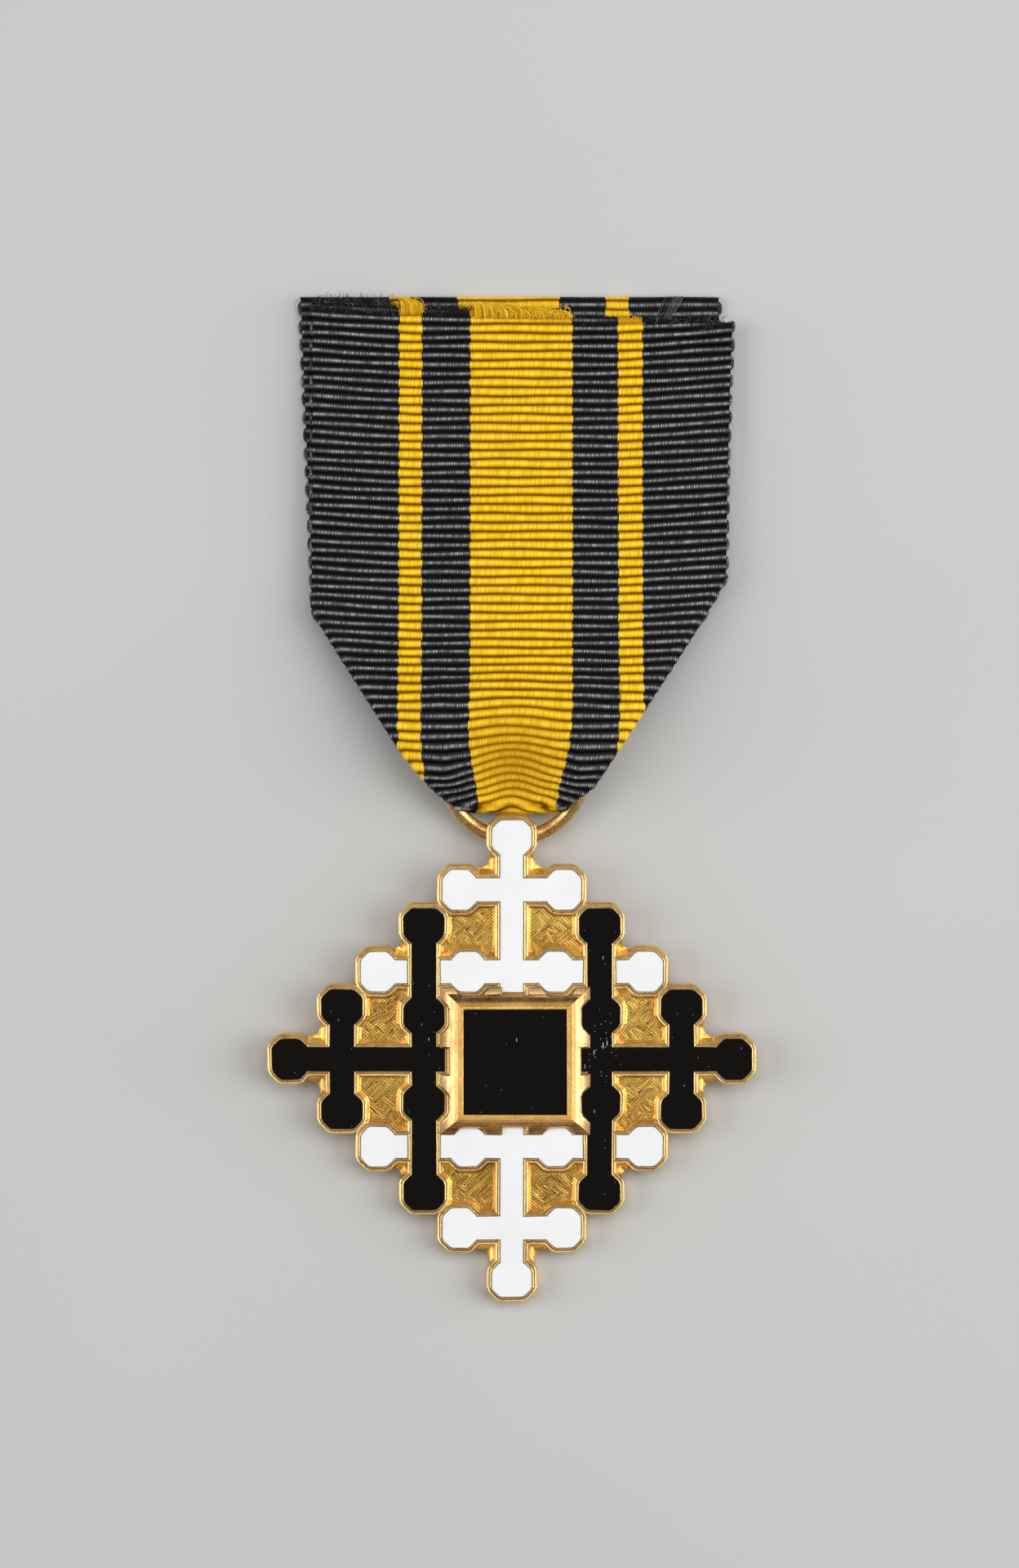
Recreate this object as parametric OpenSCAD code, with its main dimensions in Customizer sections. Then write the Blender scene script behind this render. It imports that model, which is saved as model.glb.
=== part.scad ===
// Enamelled order badge, lying on its back with its ribbon and ring.
// Millimetres. +X is to the right, +Y towards the top of the ribbon, +Z out of the front face.
// The origin is at the middle of the whole thing's outline, on the surface it lies on.

/* [Cross] */
// Distance from the middle of the cross to the end of the enamel at a tip
tip_reach = 21.06; // [20.8:0.02:21.4]
// Distance of the four inner bars from the middle
inner_offset = 7.72; // [7.6:0.02:7.9]
// Half the length of an inner bar, to the end of its enamel
inner_reach = 13.31; // [13.1:0.01:13.5]
// Distance of the four outer bars from the middle
outer_offset = 14.93; // [14.8:0.01:15.1]
// Half the length of an outer bar, to the end of its enamel
outer_reach = 6.13; // [6:0.01:6.3]
// Width of the enamel in a plain stretch of bar
neck_w = 2.07; // [1.9:0.01:2.2]
// Width of the enamel across an eight-sided bead
bead_w = 3.54; // [3.4:0.02:3.7]
// Length of a bead along its bar
bead_l = 3.1; // [3:0.02:3.2]
// Width of the gilt wall round each enamel cell
rim_w = 0.4; // [0.36:0.01:0.44]
// How far the base plate stands out beyond the walls
foot = 0.06; // [0.04:0.01:0.1]
// Width of the web in the corners between bars, from the enamel
web_w = 0.9; // [0.8:0.05:1]
// Radius in the corners of the web
web_r = 0.85; // [0.7:0.05:0.9]

/* [Heights above the back of the plate] */
// Floor of the sunk fields
field_z = 1.25; // [1.1:0.05:1.35]
// Floor of the enamel cells
cell_z = 1; // [0.9:0.05:1.1]
// Surface of the enamel
enamel_z = 1.74; // [1.7:0.01:1.78]
// Top of the walls
rim_z = 1.8; // [1.8:0.05:2]
// Top of the centre frame
frame_z = 2.75; // [2.6:0.05:2.9]
// Surface of the centre panel
panel_z = 2.6; // [2.45:0.05:2.6]

/* [Centre frame] */
// Width and height of the black panel
panel_size = [9.1, 9.3]; // [9:0.1:9.4]
// Width of the flat top of the frame
frame_lip = 0.5; // [0.4:0.05:0.5]
// Half the width and half the height of the frame's flange
frame_half = [6.7, 6.55]; // [6.5:0.05:6.75]
// How far the flange reaches over the beads beside it
flange_over = 0.22; // [0.15:0.01:0.25]
// Thickness of the flange
flange_t = 0.12; // [0.1:0.01:0.15]
// Half the width of the frame where its slope starts
slope_half = 5.9; // [5.8:0.05:5.9]
// Width of the shallow part at the foot of the frame's slope
flare_w = 0.5; // [0.4:0.05:0.5]
// Height of the shallow part of the slope
flare_h = 0.25; // [0.2:0.01:0.3]
// Where the frame's middle lies beside the middle of the cross
frame_shift = [0.3, -0.15]; // [-0.3:0.01:0.3]

/* [Eye and ring] */
// Thickness of the ring's wire
wire_d = 1.25; // [1.2:0.05:1.3]
// Outside diameter of the ring
ring_d = 13.4; // [13:0.1:13.8]
// How much the ring leans up into the ribbon
ring_tilt = 18; // [16:1:20]
// How far the ring sits to the right of the middle
ring_x = 0.2; // [0:0.1:0.3]
// Radius of the hole in the eye
eye_r = 0.75; // [0.72:0.01:0.8]
// Wall of the eye
eye_wall = 0.5; // [0.45:0.05:0.6]
// Length of the eye along its hole
eye_l = 1.6; // [1.4:0.1:1.8]
// Distance from the middle of the cross to the eye
eye_y = 19.35; // [19.2:0.05:19.4]

/* [Ribbon] */
// Thickness of the ribbon
cloth_t = 1; // [1:0.05:1.1]
// Height of the top edge of the back layer above the middle of the cross
ribbon_top = 67.3; // [66.5:0.1:68]
// How much lower the right end of the front's cut edge is than its left end
cut_slant = 1.75; // [0:0.25:2]

/* [Hidden] */

// A bead's corner cut brings its end down to the width of the neck.
bead_cut = (bead_w - neck_w) / 2;
// Beads halfway between the middle and an inner bar, and at the ends of bars
mid_bead = inner_offset / 2;
inner_end_bead = inner_reach - bead_l / 2;
outer_end_bead = outer_reach - bead_l / 2;
tip_bead = tip_reach - bead_l / 2;
// The white inner bars stop at the walls of the black ones that cross them.
wall_gap = neck_w / 2 + rim_w;
panel_depth = 0.5;
frame_top = [panel_size.x + 2 * frame_lip, panel_size.y + 2 * frame_lip];

// The eye's hole runs this far below the back of the plate.
hole_skin = 0.05;
eye_drop = eye_r + hole_skin;
// The cross leans on the edge of its bottom tip and on its eye.
eye_out = eye_r + eye_wall;
tip_out = tip_reach + rim_w + foot;
eye_arm = eye_y + tip_out;
lean = asin(eye_out / norm([eye_arm, eye_drop])) + atan(eye_drop / eye_arm);
lift = tip_out * sin(lean);
// Where the ring passes through the eye, as [y, z] on the surface
ring_foot = [
    eye_y * cos(lean) + eye_drop * sin(lean),
    eye_y * sin(lean) - eye_drop * cos(lean) + lift
];
wire_r = wire_d / 2;
ring_r = ring_d / 2 - wire_r;

// The cross's middle lies this far below the middle of the whole outline.
tip_bottom = tip_out * cos(lean) + field_z * sin(lean);
middle_y = (ribbon_top - tip_bottom) / 2;

// Columns of the cloth's rows
Y = 0;
LEFT = 1;
RIGHT = 2;
MIDDLE = 3;
SIDE = 4;
EDGE = 5;
FOLD = 6;
// The front layer from its cut edge down to the loop. Y is measured from the cross's middle, LEFT
// and RIGHT are its edges, MIDDLE, SIDE and EDGE are heights and FOLD is the width folded behind.
front = [
    [65.6, -17.85, 19.70, 1.65, 1.65, 1.65, 0.0],
    [58.0, -17.85, 19.50, 2.05, 2.00, 1.70, 0.0],
    [50.0, -17.85, 19.30, 2.60, 2.50, 1.75, 0.0],
    [44.0, -17.90, 19.20, 3.10, 3.00, 1.85, 0.0],
    [40.5, -17.90, 18.20, 3.45, 3.35, 2.00, 0.0],
    [38.5, -17.20, 16.90, 3.70, 3.60, 2.60, 1.5],
    [36.5, -15.95, 15.60, 4.10, 3.90, 3.10, 3.0],
    [34.0, -14.30, 13.95, 5.00, 4.70, 3.50, 4.5],
    [32.3, -13.30, 12.80, 5.90, 5.40, 3.80, 5.0],
    [31.4, -12.70, 12.20, 6.45, 5.80, 3.95, 0.0],
    [30.0, -11.80, 11.30, 6.60, 6.05, 4.20, 0.0],
    [28.8, -11.00, 10.50, 6.15, 6.00, 4.45, 0.0],
    [27.0, -9.90, 9.35, 4.85, 5.60, 4.55, 0.0],
    [25.0, -8.30, 7.95, 3.50, 4.85, 4.55, 0.0],
    [23.8, -7.00, 7.30, 2.75, 4.25, 4.45, 0.0],
    [23.0, -5.60, 6.00, 2.25, 3.55, 4.10, 0.0]
];
// The back layer lies flat, from the loop up to its own cut edge.
back = [
    [23.2, -4.80, 5.20],
    [25.0, -7.60, 7.40],
    [27.0, -9.90, 9.35],
    [33.0, -13.70, 13.30],
    [39.6, -17.90, 17.60],
    [42.0, -17.95, 19.10],
    [ribbon_top, -19.00, 18.55]
];
// The loop between them turns round a gap this wide. It ends at loop_end, and its rows are turn_step
// degrees apart.
layer_gap = 0.4;
loop_end = 21.4;
loop_left = -3.2;
loop_right = 3.6;
turn_step = 30;
loop_z = cloth_t + layer_gap / 2;
loop_r = (cloth_t + layer_gap) / 2;
loop_y = loop_end + loop_r + cloth_t / 2;
// The cloth is held up by the ring's sides, or, where it is narrower, at this share of its width.
ring_side = 6;
side_share = 0.7;
// Each section keeps the points of the folded sides, so these have a least width and thickness.
least_fold = 0.5;
step_t = 0.03;
cloth = concat(
    front,
    [
        for (a = [90:-turn_step:-90])
            let (z = loop_z + loop_r * sin(a))
            [loop_y - loop_r * cos(a), loop_left, loop_right, z, z, z, 0]
    ],
    [for (row = back) [row[Y], row[LEFT], row[RIGHT], cloth_t / 2, cloth_t / 2, cloth_t / 2, 0]]
);

$fn = 64;
// How far pieces of one outline reach into each other
slit = 0.01;

// Shape of one enamel bead, grown by g on every side
module bead(g = 0) {
    cut = bead_cut + g * (2 - sqrt(2));
    x = bead_l / 2 + g;
    y = bead_w / 2 + g;
    polygon([
        [x, y - cut],
        [x - cut, y],
        [cut - x, y],
        [-x, y - cut],
        [-x, cut - y],
        [cut - x, -y],
        [x - cut, -y],
        [x, cut - y]
    ]);
}

// A stretch of bar along X from x0 to x1 at height y, with beads at the listed places
module bar(x0, x1, y, beads, g = 0) {
    half = neck_w / 2 + g;
    translate([x0 - g, y - half]) square([x1 - x0 + 2 * g, 2 * half]);
    for (x = beads) translate([x, y]) bead(g);
}

// The part of a cell that black and white share: the arm to the tip and the outer bar
module arm(g) {
    bar(slope_half, tip_reach - bead_cut, 0, [tip_bead], g);
    rotate(90)
        bar(-outer_reach + bead_cut, outer_reach - bead_cut, -outer_offset,
            [-outer_end_bead, outer_end_bead], g);
}

// Right-hand black cell: the arm and a whole inner bar
module black_cell(g = 0) {
    arm(g);
    rotate(90)
        bar(-inner_reach + bead_cut, inner_reach - bead_cut, -inner_offset,
            [-inner_end_bead, -mid_bead, mid_bead, inner_end_bead], g);
}

// Top white cell: the arm and the stretch of inner bar between the two black ones
module white_cell(g = 0) {
    reach = inner_offset - wall_gap;
    rotate(90) arm(g);
    bar(-reach, reach, inner_offset, [-mid_bead, mid_bead], g);
}

// Upper right end of a white inner bar, outside the black bar
module knob_cell(g = 0) {
    bar(inner_offset + wall_gap, inner_reach - bead_cut, inner_offset, [inner_end_bead], g);
}

module four_knobs(g = 0) {
    for (x = [0, 1], y = [0, 1]) mirror([x, 0]) mirror([0, y]) knob_cell(g);
}

module all_cells(g = 0) {
    for (side = [0, 1]) {
        mirror([side, 0]) black_cell(g);
        mirror([0, side]) white_cell(g);
    }
    four_knobs(g);
}

// Webs beside the plain stretches of bar, out to the beads on their ends
module web() {
    half = neck_w / 2 + web_w;
    inner_l = inner_reach - bead_l;
    outer_l = outer_reach - bead_l;
    for (turn = [0, 90], side = [-1, 1]) rotate(turn) {
        translate([-inner_l, side * inner_offset - half]) square([2 * inner_l, 2 * half]);
        translate([-outer_l, side * outer_offset - half]) square([2 * outer_l, 2 * half]);
    }
    for (turn = [0, 90]) rotate(turn)
        translate([bead_l - tip_reach, -half]) square([2 * (tip_reach - bead_l), 2 * half]);
}

// Round fillets in the twelve corners where two webs meet on the outside
module web_fillets() {
    half = neck_w / 2 + web_w;
    corners = [
        [half, outer_offset + half],
        [outer_offset + half, half],
        [inner_offset + half, inner_offset + half]
    ];
    for (x = [0, 1], y = [0, 1], corner = corners)
        mirror([x, 0]) mirror([0, y]) translate(corner) difference() {
            translate([-slit, -slit]) square(web_r + slit);
            translate([web_r, web_r]) circle(web_r);
        }
}

// The eight sunk fields and the middle
module fields() {
    long = outer_offset;
    short = outer_reach;
    for (turn = [0, 90]) rotate(turn) translate([-long, -short]) square([2 * long, 2 * short]);
}

module plate_outline() {
    all_cells(rim_w + foot);
    web();
    web_fillets();
    fields();
}

// A four-sided slope from a large base to a smaller top, each given as [width, height]
module slope(base, top, z0, z1) {
    corners = [[-1, -1], [1, -1], [1, 1], [-1, 1]];
    polyhedron(
        [
            for (c = corners) [c.x * base.x / 2, c.y * base.y / 2, z0],
            for (c = corners) [c.x * top.x / 2, c.y * top.y / 2, z1]
        ],
        [[0, 1, 2, 3], [7, 6, 5, 4], for (i = [0:3]) [i, i + 4, (i + 1) % 4 + 4, (i + 1) % 4]]
    );
}

// The frame is a notched flange that flares up to a flat lip round the panel.
module centre_frame() {
    flange_z = rim_z + flange_t;
    foot_size = 2 * [slope_half, slope_half];
    bend_size = foot_size - 2 * [flare_w, flare_w];
    translate([0, 0, field_z]) linear_extrude(rim_z - field_z) difference() {
        square(2 * (frame_half - [flange_over, flange_over]), center = true);
        all_cells();
    }
    translate([frame_shift.x, frame_shift.y, 0]) {
        translate([0, 0, rim_z]) linear_extrude(flange_t) difference() {
            square(2 * frame_half, center = true);
            all_cells(-flange_over);
        }
        slope(foot_size, bend_size, flange_z, flange_z + flare_h);
        slope(bend_size, frame_top, flange_z + flare_h, frame_z);
    }
}

module eye() {
    translate([-eye_l / 2, eye_y, -eye_drop]) rotate([0, 90, 0]) cylinder(r = eye_out, h = eye_l);
}

// Puts the cross, which is drawn flat about its own middle, where it lies.
module lying() {
    translate([0, -middle_y, lift]) rotate([lean, 0, 0]) children();
}

module gilt_body() {
    color("goldenrod") lying() difference() {
        union() {
            linear_extrude(field_z) plate_outline();
            linear_extrude(rim_z) all_cells(rim_w);
            centre_frame();
            eye();
        }
        translate([0, 0, cell_z]) linear_extrude(rim_z - cell_z) all_cells();
        translate([frame_shift.x, frame_shift.y, frame_z - panel_depth])
            linear_extrude(panel_depth) square(panel_size, center = true);
        translate([-eye_l, eye_y, -eye_drop]) rotate([0, 90, 0]) cylinder(r = eye_r, h = 2 * eye_l);
    }
}

// Enamel of the outline given as its child, melted into its cell
module enamel(tint) {
    color(tint) lying() translate([0, 0, cell_z]) linear_extrude(enamel_z - cell_z) children();
}

module white_top() {
    enamel("white") white_cell();
}

module white_bottom() {
    enamel("white") mirror([0, 1]) white_cell();
}

module white_knob_upper_left() {
    enamel("white") mirror([1, 0]) knob_cell();
}

module white_knob_upper_right() {
    enamel("white") knob_cell();
}

module white_knob_lower_left() {
    enamel("white") mirror([1, 0]) mirror([0, 1]) knob_cell();
}

module white_knob_lower_right() {
    enamel("white") mirror([0, 1]) knob_cell();
}

module black_left() {
    enamel("black") mirror([1, 0]) black_cell();
}

module black_right() {
    enamel("black") black_cell();
}

module centre_panel() {
    bottom = frame_z - panel_depth;
    color("black") lying() translate([frame_shift.x, frame_shift.y, bottom])
        linear_extrude(panel_z - bottom) square(panel_size, center = true);
}

module suspension_ring() {
    color("darkgoldenrod")
        translate([ring_x, ring_foot.x - middle_y, ring_foot.y])
            rotate([ring_tilt, 0, 0])
                translate([0, ring_r, 0])
                    rotate_extrude() translate([ring_r, 0]) circle(wire_r);
}

// The middle of the cloth's thickness across one row, at x: level with "middle" at x = 0, with
// "side" over the ring's sides and with "edge" at the two edges
function cloth_z(row, x) =
    let (
        reach = x < 0 ? -row[LEFT] : row[RIGHT],
        near = min(ring_side, side_share * reach),
        a = abs(x)
    )
    a < near
        ? row[MIDDLE] + (row[SIDE] - row[MIDDLE]) * (1 - cos(180 * a / near)) / 2
        : row[SIDE] + (row[EDGE] - row[SIDE]) * (a - near) / (reach - near);

// Direction out of the cloth's outer face at row i, as [y, z]
function out(i) =
    let (
        before = cloth[max(i - 1, 0)],
        after = cloth[min(i + 1, len(cloth) - 1)],
        run = [after[Y] - before[Y], after[MIDDLE] - before[MIDDLE]]
    )
    [run.y, -run.x] / norm(run);

function cloth_point(i, x, depth) =
    let (
        row = cloth[i],
        n = out(i),
        slant = i == 0 ? cut_slant * (0.5 - (x - row[LEFT]) / (row[RIGHT] - row[LEFT])) : 0
    )
    [x, row[Y] + slant - n.x * depth, cloth_z(row, x) - n.y * depth];

// Where a section of the cloth has its points, from its left edge to its right one
function across(row) =
    let (
        l = row[LEFT],
        r = row[RIGHT],
        near_l = max(-ring_side, side_share * l),
        near_r = min(ring_side, side_share * r),
        hem = max(row[FOLD], least_fold)
    )
    [
        l,
        l + hem,
        l + hem + step_t,
        near_l,
        near_l / 2,
        0,
        near_r / 2,
        near_r,
        r - hem - step_t,
        r - hem,
        r
    ];

// One closed section of the ribbon: across its outer face, then back along its inner face, where
// the sides that are folded behind make it twice as thick
function section(i) =
    let (
        xs = across(cloth[i]),
        last = len(xs) - 1,
        thin = cloth_t / 2,
        thick = thin + max(min(cloth[i][FOLD], cloth_t), step_t)
    )
    [
        for (x = xs) cloth_point(i, x, -thin),
        for (k = [last:-1:0]) cloth_point(i, xs[k], min(k, last - k) < 2 ? thick : thin)
    ];

module ribbon() {
    sections = [for (i = [0:len(cloth) - 1]) section(i)];
    n = len(sections[0]);
    points = [for (s = sections, p = s) p];
    last = n * (len(sections) - 1);
    color("gold") translate([0, -middle_y, 0]) polyhedron(points, concat(
        [for (k = [0:n / 2 - 2]) [n - 1 - k, n - 2 - k, k + 1, k]],
        [for (k = [0:n / 2 - 2]) last * [1, 1, 1, 1] + [k, k + 1, n - 2 - k, n - 1 - k]],
        [
            for (i = [0:len(sections) - 2], k = [0:n - 1])
                let (a = i * n + k, b = i * n + (k + 1) % n)
                each [[a, b, a + n], [b, b + n, a + n]]
        ]
    ));
}

gilt_body();
white_top();
white_bottom();
white_knob_upper_left();
white_knob_upper_right();
white_knob_lower_left();
white_knob_lower_right();
black_left();
black_right();
centre_panel();
suspension_ring();
ribbon();
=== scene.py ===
"""Enamelled order badge lying on its back with its ribbon and ring: fine shapes, materials, light."""

import math
import random
from functools import partialmethod, reduce

import bpy
import numpy as np
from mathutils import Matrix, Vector
from mathutils.geometry import delaunay_2d_cdt


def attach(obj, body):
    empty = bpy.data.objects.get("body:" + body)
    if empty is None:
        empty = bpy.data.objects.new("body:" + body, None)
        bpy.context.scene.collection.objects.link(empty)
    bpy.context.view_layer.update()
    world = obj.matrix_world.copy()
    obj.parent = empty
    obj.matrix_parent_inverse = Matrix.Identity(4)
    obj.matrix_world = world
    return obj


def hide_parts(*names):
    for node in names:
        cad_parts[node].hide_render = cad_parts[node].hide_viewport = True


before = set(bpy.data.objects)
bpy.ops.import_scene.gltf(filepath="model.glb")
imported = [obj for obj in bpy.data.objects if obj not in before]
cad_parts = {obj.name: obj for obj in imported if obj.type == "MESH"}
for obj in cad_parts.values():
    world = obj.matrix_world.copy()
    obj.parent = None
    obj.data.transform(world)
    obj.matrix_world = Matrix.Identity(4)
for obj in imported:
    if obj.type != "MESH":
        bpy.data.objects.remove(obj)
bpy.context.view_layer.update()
dice = random.Random(7)

MM = 0.001
# The photograph is 1248 by 1920 pixels, 13.9 of them to the millimetre at the badge's front. The
# cross's middle is at this pixel.
PIXELS_PER_MM = 13.9
CROSS_PIXEL = (626.8, 1295.2)

# Sizes of the cross in millimetres, about its own middle. They are the construction's own.
TIP_REACH = 21.06
INNER_OFFSET = 7.72
INNER_REACH = 13.31
OUTER_OFFSET = 14.93
OUTER_REACH = 6.13
NECK_W = 2.07
BEAD_W = 3.54
BEAD_L = 3.1
RIM_W = 0.4
FOOT = 0.06
WEB_W = 0.9
WEB_R = 0.85
FIELD_Z = 1.25
CELL_Z = 1.0
PANEL_SIZE = (9.1, 9.3)
FRAME_HALF = (6.7, 6.55)
SLOPE_HALF = 5.9
FRAME_SHIFT = np.array([0.3, -0.15])
WIRE_R = 0.625
RING_R = 6.075
RING_TILT = math.radians(18)
RING_X = 0.2
EYE_R = 0.75
EYE_WALL = 0.5
EYE_L = 1.6
EYE_Y = 19.35
EYE_DROP = 0.8
# Sizes of the looks alone: how much is cut off a bead's corners, the height of the fields' floors, and
# the gap between the enamel and the notches under the frame
CORNER_CUT = 0.06
FLOOR_Z = 1.31
FLANGE_GAP = 0.08

BEAD_CUT = (BEAD_W - NECK_W) / 2
MID_BEAD = INNER_OFFSET / 2
INNER_END_BEAD = INNER_REACH - BEAD_L / 2
OUTER_END_BEAD = OUTER_REACH - BEAD_L / 2
TIP_BEAD = TIP_REACH - BEAD_L / 2
WALL_GAP = NECK_W / 2 + RIM_W

# The cross leans on its bottom tip and its eye, and its middle lies below the whole's middle.
EYE_OUT = EYE_R + EYE_WALL
TIP_OUT = TIP_REACH + RIM_W + FOOT
EYE_ARM = EYE_Y + TIP_OUT
LEAN = math.asin(EYE_OUT / math.hypot(EYE_ARM, EYE_DROP)) + math.atan(EYE_DROP / EYE_ARM)
LIFT = TIP_OUT * math.sin(LEAN)
RIBBON_TOP = 67.3
MIDDLE_Y = (RIBBON_TOP - TIP_OUT * math.cos(LEAN) - FIELD_Z * math.sin(LEAN)) / 2
RING_FOOT_Y = EYE_Y * math.cos(LEAN) + EYE_DROP * math.sin(LEAN)
RING_FOOT_Z = EYE_Y * math.sin(LEAN) - EYE_DROP * math.cos(LEAN) + LIFT


def tipped(y, z, angle):
    """Turns places in y and z by an angle about the x axis."""
    c, s = math.cos(angle), math.sin(angle)
    return y * c - z * s, y * s + z * c


def lying(points):
    """Puts points of the cross, drawn flat about its own middle, where the cross lies."""
    x, y, z = np.asarray(points, float).T
    y, z = tipped(y, z, LEAN)
    return np.stack([x, y - MIDDLE_Y, z + LIFT], axis=1)


def on_table(points):
    """Moves points given from the cross's middle to the whole thing's middle."""
    return np.asarray(points, float) - [0, MIDDLE_Y, 0]


def toward(angle):
    return np.array([math.cos(angle), math.sin(angle)])


def link(name, data):
    """Puts a new object with this data in the scene."""
    thing = bpy.data.objects.new(name, data)
    bpy.context.scene.collection.objects.link(thing)
    return thing


def new_piece(name, points, faces, material, slot, stands_for, smooth=False, **numbers):
    """Makes one piece from points in millimetres, and hangs it on the only body. numbers are lists
    of one number for each point, which its material reads by their names."""
    mesh = bpy.data.meshes.new(name)
    mesh.from_pydata((np.asarray(points) * MM).tolist(), [], [tuple(map(int, f)) for f in faces])
    mesh.polygons.foreach_set("use_smooth", [smooth] * len(mesh.polygons))
    mesh.update()
    mesh.materials.append(material)
    for key, values in numbers.items():
        mesh.attributes.new(key, "FLOAT", "POINT").data.foreach_set("value", values)
    piece = link(name, mesh)
    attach(piece, "root")
    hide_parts(stands_for)
    return piece


# Shapes of the cross. Each convex shape is a list of rows (nx, ny, c), one for each of its sides, and
# holds the points where nx * x + ny * y <= c in every row. Adding g to every c grows it by g.
TURN = np.array([[0.0, -1.0], [1.0, 0.0]])
FLIP_X = np.diag([-1.0, 1.0])
FLIP_Y = np.diag([1.0, -1.0])
FLIPS = [np.eye(2), FLIP_X, FLIP_Y, FLIP_X @ FLIP_Y]


def rectangle(x0, x1, y0, y1):
    rows = [[1, 0, x1], [0, 1, y1], [-1, 0, -x0], [0, -1, -y0]]
    return np.array(rows * 4, float)


def sorted_rows(rows):
    rows = np.unique(np.asarray(rows, float).round(9), axis=0)
    return rows[np.argsort(np.arctan2(rows[:, 1], rows[:, 0]))]


def shape_corners(rows, grow):
    """Corners of one convex shape, grown; corner k lies between side k and the next."""
    rows = sorted_rows(rows)
    after = np.roll(rows, -1, axis=0)
    return [
        np.linalg.solve([a[:2], b[:2]], [a[2] + grow, b[2] + grow]) for a, b in zip(rows, after)
    ]


def bead(x, y):
    """A knob: eight sides and eight short ones that cut its corners."""
    rows = []
    for k in range(8):
        n = toward(k * math.pi / 4)
        reach = abs(n) @ [BEAD_L / 2, BEAD_W / 2]
        if k % 2:
            reach = (BEAD_L / 2 + BEAD_W / 2 - BEAD_CUT) * math.sqrt(0.5)
        rows.append([*n, reach + n @ [x, y]])
    for corner, before in zip(shape_corners(np.array(rows), 0), sorted_rows(rows)):
        n = toward(math.atan2(before[1], before[0]) + math.pi / 8)
        rows.append([*n, n @ corner - CORNER_CUT])
    return np.array(rows)


def moved(shapes, matrix):
    return [np.column_stack([s[:, :2] @ matrix.T, s[:, 2]]) for s in shapes]


def bar(x0, x1, y, beads):
    return [rectangle(x0, x1, y - NECK_W / 2, y + NECK_W / 2)] + [bead(x, y) for x in beads]


def arm():
    outer = bar(BEAD_CUT - OUTER_REACH, OUTER_REACH - BEAD_CUT, -OUTER_OFFSET,
                [-OUTER_END_BEAD, OUTER_END_BEAD])
    return bar(SLOPE_HALF, TIP_REACH - BEAD_CUT, 0, [TIP_BEAD]) + moved(outer, TURN)


def black_cell():
    inner = bar(BEAD_CUT - INNER_REACH, INNER_REACH - BEAD_CUT, -INNER_OFFSET,
                [-INNER_END_BEAD, -MID_BEAD, MID_BEAD, INNER_END_BEAD])
    return arm() + moved(inner, TURN)


def white_cell():
    reach = INNER_OFFSET - WALL_GAP
    return moved(arm(), TURN) + bar(-reach, reach, INNER_OFFSET, [-MID_BEAD, MID_BEAD])


def knob_cell():
    return bar(INNER_OFFSET + WALL_GAP, INNER_REACH - BEAD_CUT, INNER_OFFSET, [INNER_END_BEAD])


CELLS = {
    "white_top": white_cell(),
    "white_bottom": moved(white_cell(), FLIP_Y),
    "white_knob_upper_left": moved(knob_cell(), FLIP_X),
    "white_knob_upper_right": knob_cell(),
    "white_knob_lower_left": moved(knob_cell(), FLIP_X @ FLIP_Y),
    "white_knob_lower_right": moved(knob_cell(), FLIP_Y),
    "black_left": moved(black_cell(), FLIP_X),
    "black_right": black_cell(),
}
ALL_CELLS = [shape for cell in CELLS.values() for shape in cell]


def webs():
    """The flat plate between and under the walls."""
    half = NECK_W / 2 + WEB_W
    flat = []
    for reach, y in ((TIP_REACH, 0), (INNER_REACH, -INNER_OFFSET), (OUTER_REACH, -OUTER_OFFSET),
                     (INNER_REACH, INNER_OFFSET), (OUTER_REACH, OUTER_OFFSET)):
        flat.append(rectangle(BEAD_L - reach, reach - BEAD_L, y - half, y + half))
    flat.append(rectangle(-OUTER_OFFSET, OUTER_OFFSET, -OUTER_REACH, OUTER_REACH))
    return flat + moved(flat, TURN)


def distance(points, shapes):
    """Distance of each point outside the shapes' outline, and negative inside it."""
    stack = np.stack(shapes)
    out = np.full(len(points), np.inf)
    for rows in stack:
        out = np.minimum(out, (points @ rows[:, :2].T - rows[:, 2]).max(axis=1))
    return out


def spans(p, q, stack, grow=0):
    """Where the line from p to q runs inside the stacked shapes, as shares of its length."""
    tiny = 1e-7
    a, b = (stack[:, :, :2] @ end - stack[:, :, 2] - grow for end in (p, q))
    run = b - a
    level = abs(run) < tiny
    cross = -a / np.where(level, 1, run)
    start = np.where(~level & (run < 0), cross, 0).max(axis=1).clip(0, 1)
    end = np.where(~level & (run > 0), cross, 1).min(axis=1).clip(0, 1)
    middle = a + ((start + end) / 2)[:, None] * run
    inside = (middle.max(axis=1) < -tiny * 10) & (end - start > tiny)
    return sorted(zip(start[inside], end[inside]))


def outside_parts(p, q, stack, grow):
    """The stretches of the line from p to q that lie in none of the stacked shapes."""
    parts, at = [], 0.0
    for start, end in spans(p, q, stack, grow) + [(1.0, 1.0)]:
        if start - at > 1e-4:
            parts.append((p + at * (q - p), p + start * (q - p)))
        at = max(at, end)
    return parts


def outlines(shapes, levels):
    """The outline of all the shapes together, grown by each of the levels, as line pieces."""
    stack = np.stack(shapes)
    lines = []
    for grow in levels:
        for rows in shapes:
            corners = shape_corners(rows, grow)
            for p, q in zip(corners, corners[1:] + corners[:1]):
                lines += outside_parts(p, q, stack, grow)
    return lines


class Numbering(dict):
    """Gives each key the next number when it is first asked for."""

    def __missing__(self, key):
        self[key] = len(self)
        return self[key]


def rounded(point):
    """The point as a key that is the same for all points within the last few digits."""
    return tuple(round(float(c), 4) for c in point)


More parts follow.
